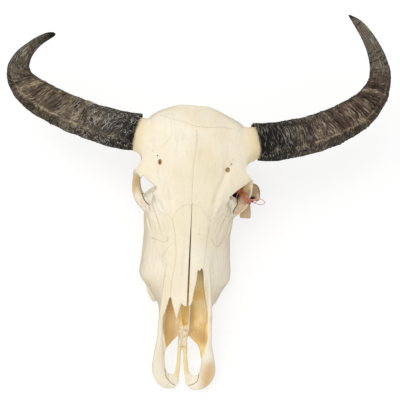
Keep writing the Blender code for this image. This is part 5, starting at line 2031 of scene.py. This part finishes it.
@dataclass
class BoneDress:
    """Where the bone is yellow, grimy or stained, and where shade and some light are painted on it."""

    cavity: Surface
    marks: tuple[Mark, ...] = rows(
        Mark,
        # inside the nose
        ("gold", ((-3, 150), (-2.4, 108)), 5, 3, -60, -34),
        ("amber", ((10, 142), (11.2, 108)), 4.6, 4.14, -80, -34),
        ("amber", ((12, 94), (34, 86)), 11, 7.7, -80, -15),
        ("amber", ((-37, 140), (-38, 96), (-24, 90)), 16.5, 14.85, -80, -18),
        ("pale", ((27, 150), (29, 118)), 6, 5.4, -80, -15),
        # the yellow apex of the left nose opening, painted lighter to lift the shade there
        ("wheat", ((21.5, 190), (20.5, 222)), 12, 7.2, -80, -10),
        ("bright", ((5.3, 146), (5.8, 98)), 1.9, 0.76, -45, -10),
        ("lemon", ((-7.5, 64), (-9.2, 32), (-12, 14)), 4.6, 2.76),
        ("lemon", ((2, 64), (4.2, 33), (6, 19)), 4.2, 2.52),
        # end of the left premaxilla
        ("stain", ((47, 30), (44, 1)), 10.5, 9.45),
        # bars behind the eyes
        ("olive", ((-101, 374), (-102, 362), (-107, 344)), 6.6, 5.28, -80, -24),
        ("olive", ((96, 370), (97.5, 356)), 7.5, 3, -80, -20),
        # hollow faces of the cheek bones, and the lips of bone beside them, the lips in painted grey shade
        ("rose", ((100, 335), (85, 317)), 6.2, 3.1, -75, -48),
        ("slate", ((-85, 336.2), (-65.5, 351.2)), 3.6, 0.432, -55, 20),
        ("slate", ((67, 346), (84.5, 339)), 3.4, 0.51, -58, -28),
        ("umber", ((-90, 340.2), (-86.3, 330.8), (-81.6, 324.5), (-75.8, 319.4)), 0.9, 0.36),
        ("umber", ((86.8, 337.5), (87.6, 332.5), (84.6, 326.2), (79.7, 317.5)), 0.9, 0.36),
        # painted shadow under the end of the right brow
        ("umber", ((-106, 378.2), (-100, 375.2), (-93.5, 371.2)), 1, 0.7, -80, -20),
        # nerve holes of the brow
        ("stain", ((-59.2, 397), (-59.2, 395)), 3.6, 1.44),
        # painted shade deep in the right nerve hole
        ("umber", ((-59.2, 395), (-59.2, 393.5)), 1.4, 0.84, -80, 4),
        ("stain", ((61.2, 391.2), (61.2, 390)), 4, 1.6),
        # painted shade deep in the brain's door
        ("umber", ((0, 469), (0, 479)), 12.5, 4.375, -136.5, -107),
        # beside the horns' rims
        ("straw", ((-105, 480), (-111, 418)), 11, 9.9),
        ("straw", ((101, 478), (108, 416)), 13.5, 12.15),
    )
    # painted shade deep in the left eye socket: its ellipsoid, and the heights over which it fades out
    # upwards
    soot: Ball = mm(Ball((80, 352, -88), (17, 15, 24)))
    soot_below: Pair = mm((-64, -44))
    crest: Plan = mm(((-3.5, 190), (-3.5, 60), (-2, -20)))
    crest_end: Pair = mm((106, 122))
    nose_half: float = 0.045
    nose_span: Pair = mm((10, 340))
    limit: int = 196000
    height_soft: float = 0.002

    def dress(self, mesh: Mesh) -> Mesh:
        """Thins a bone that is too fine and writes its attributes, still in the face frame without the lean.

        Args:
            mesh: The bone.

        Returns:
            The bone, perhaps a new mesh.
        """
        mesh.calc_loop_triangles()
        if len(mesh.loop_triangles) > self.limit:
            mesh = applied(mesh, ("DECIMATE", {"ratio": self.limit / len(mesh.loop_triangles)}))
        places, facing = positions(mesh), normals(mesh)
        x, y, z = places.T
        near = (np.abs(x) < self.nose_half) & (y > self.nose_span[0]) & (y < self.nose_span[1])
        ochre = np.zeros(len(places))
        far, outward = self.cavity.nearest(places[near])
        inward = -np.einsum("ij,ij->i", facing[near], outward)
        walls = (1 - smoothstep(0.001, 0.003, far)) * smoothstep(0.1, 0.65, inward)
        ochre[near] = np.maximum(walls, 0.65 * (far < -0.0015))
        on_crest = bell(distance_to_line(places, self.crest), 0.0105)
        crumbly = 1 - smoothstep(*self.crest_end, y)
        ochre *= 1 - on_crest * (0.35 + 0.45 * crumbly)
        write(mesh, "ochre", ochre)
        # how deep each point lies in a crease, for painted shade with some grime there
        edges = Neighbours(mesh)
        soft = edges.softened(places, 12)
        bend = np.einsum("ij,ij->i", soft - places, facing)
        write(mesh, "crevice", smoothstep(0.00022, 0.001, edges.softened(bend, 3)))
        for name in sorted({mark.name for mark in self.marks}):
            shares = [self.covered(mark, places) for mark in self.marks if mark.name == name]
            write(mesh, name, np.max(shares, axis=0))
        # painted shade deep in the left eye socket
        deep = np.linalg.norm((places - self.soot.centre) / self.soot.radii, axis=1)
        write(mesh, "soot", (1 - smoothstep(0.75, 1.15, deep)) * (1 - smoothstep(*self.soot_below, z)))
        # painted shade: darker where the surface turns away from the top, off the midline
        write(mesh, "flank", smoothstep(0.7, 0.15, facing[:, 2]) * smoothstep(0.02, 0.045, np.abs(x)))
        return mesh

    def covered(self, mark: Mark, places: Array) -> Array:
        """How far each point lies in a mark, from 0 to 1."""
        far = distance_to_line(places, mark.line)
        inside = 1 - smoothstep(mark.spread - mark.soft, mark.spread + mark.soft, far)
        z, soft = places[:, 2], self.height_soft
        inside *= smoothstep(mark.low - soft, mark.low + soft, z)
        return inside * smoothstep(mark.high + soft, mark.high - soft, z)


def main() -> None:
    """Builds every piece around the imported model."""
    logging.basicConfig(level=logging.INFO, format="%(message)s")
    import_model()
    sheaths = [
        HornSheath(Side.RIGHT, RIGHT_SHEATH, 100, 0.42, 0.0016, rim_shift=0.0003, rim_lean=0.0047),
        HornSheath(Side.LEFT, LEFT_SHEATH, 200, 0.1, 0.0012, rim_shift=-0.001, rim_lean=0.005),
    ]
    clay = SkullClay()
    dresser = BoneDress(Surface(clay.nose_cavity()))
    bone = BoneFinish().paint("bone")
    tag = TagOnElastic()
    for name, mesh in clay.bones(sheaths).items():
        mesh = dresser.dress(mesh)
        leaned(mesh)
        if name == "zygomatic_left":
            socket = Surface(mesh)
            band, free_loop = tag.band(socket), tag.free_loop(socket)
        place(mesh, f"{name}_surface", "bone", bone, name)
    # painted shade: a nearly black sheet deep in the left eye socket
    membrane = clay.membrane()
    leaned(membrane)
    place(membrane, "socket_membrane", "bone", MembraneFinish().paint("membrane"))
    for sheath, finish in zip(sheaths, (RIGHT_HORN, LEFT_HORN)):
        horn = finish.paint(f"horn_{sheath.side.tag}")
        place(sheath.mesh(), f"sheath_{sheath.side.tag}", "horn", horn, f"horn_{sheath.side.tag}")
    enamel = ToothFinish().paint("tooth")
    for side in Side:
        row = CheekTeeth(side).build()
        leaned(row)
        place(row, f"cheek_teeth_{side.tag}", "bone", enamel)
    place(tag.card(), "card", "card", CardFinish().paint("card"), "tag_card")
    orange = ElasticFinish((0.76, 0.27, 0.12), (0.46, 0.115, 0.055)).paint("elastic_orange")
    pink = ElasticFinish((0.82, 0.37, 0.35), (0.56, 0.2, 0.2)).paint("elastic_pink")
    dark = ElasticFinish((0.05, 0.012, 0.008), (0.014, 0.004, 0.003)).paint("cord_dark")
    place(band, "elastic_band", "elastic", orange, "tag_band")
    place(free_loop, "elastic_loop", "elastic", pink)
    place(tag.dark_knot(), "cord_knot", "elastic", dark)
    Studio().build()


if __name__ == "__main__":
    main()
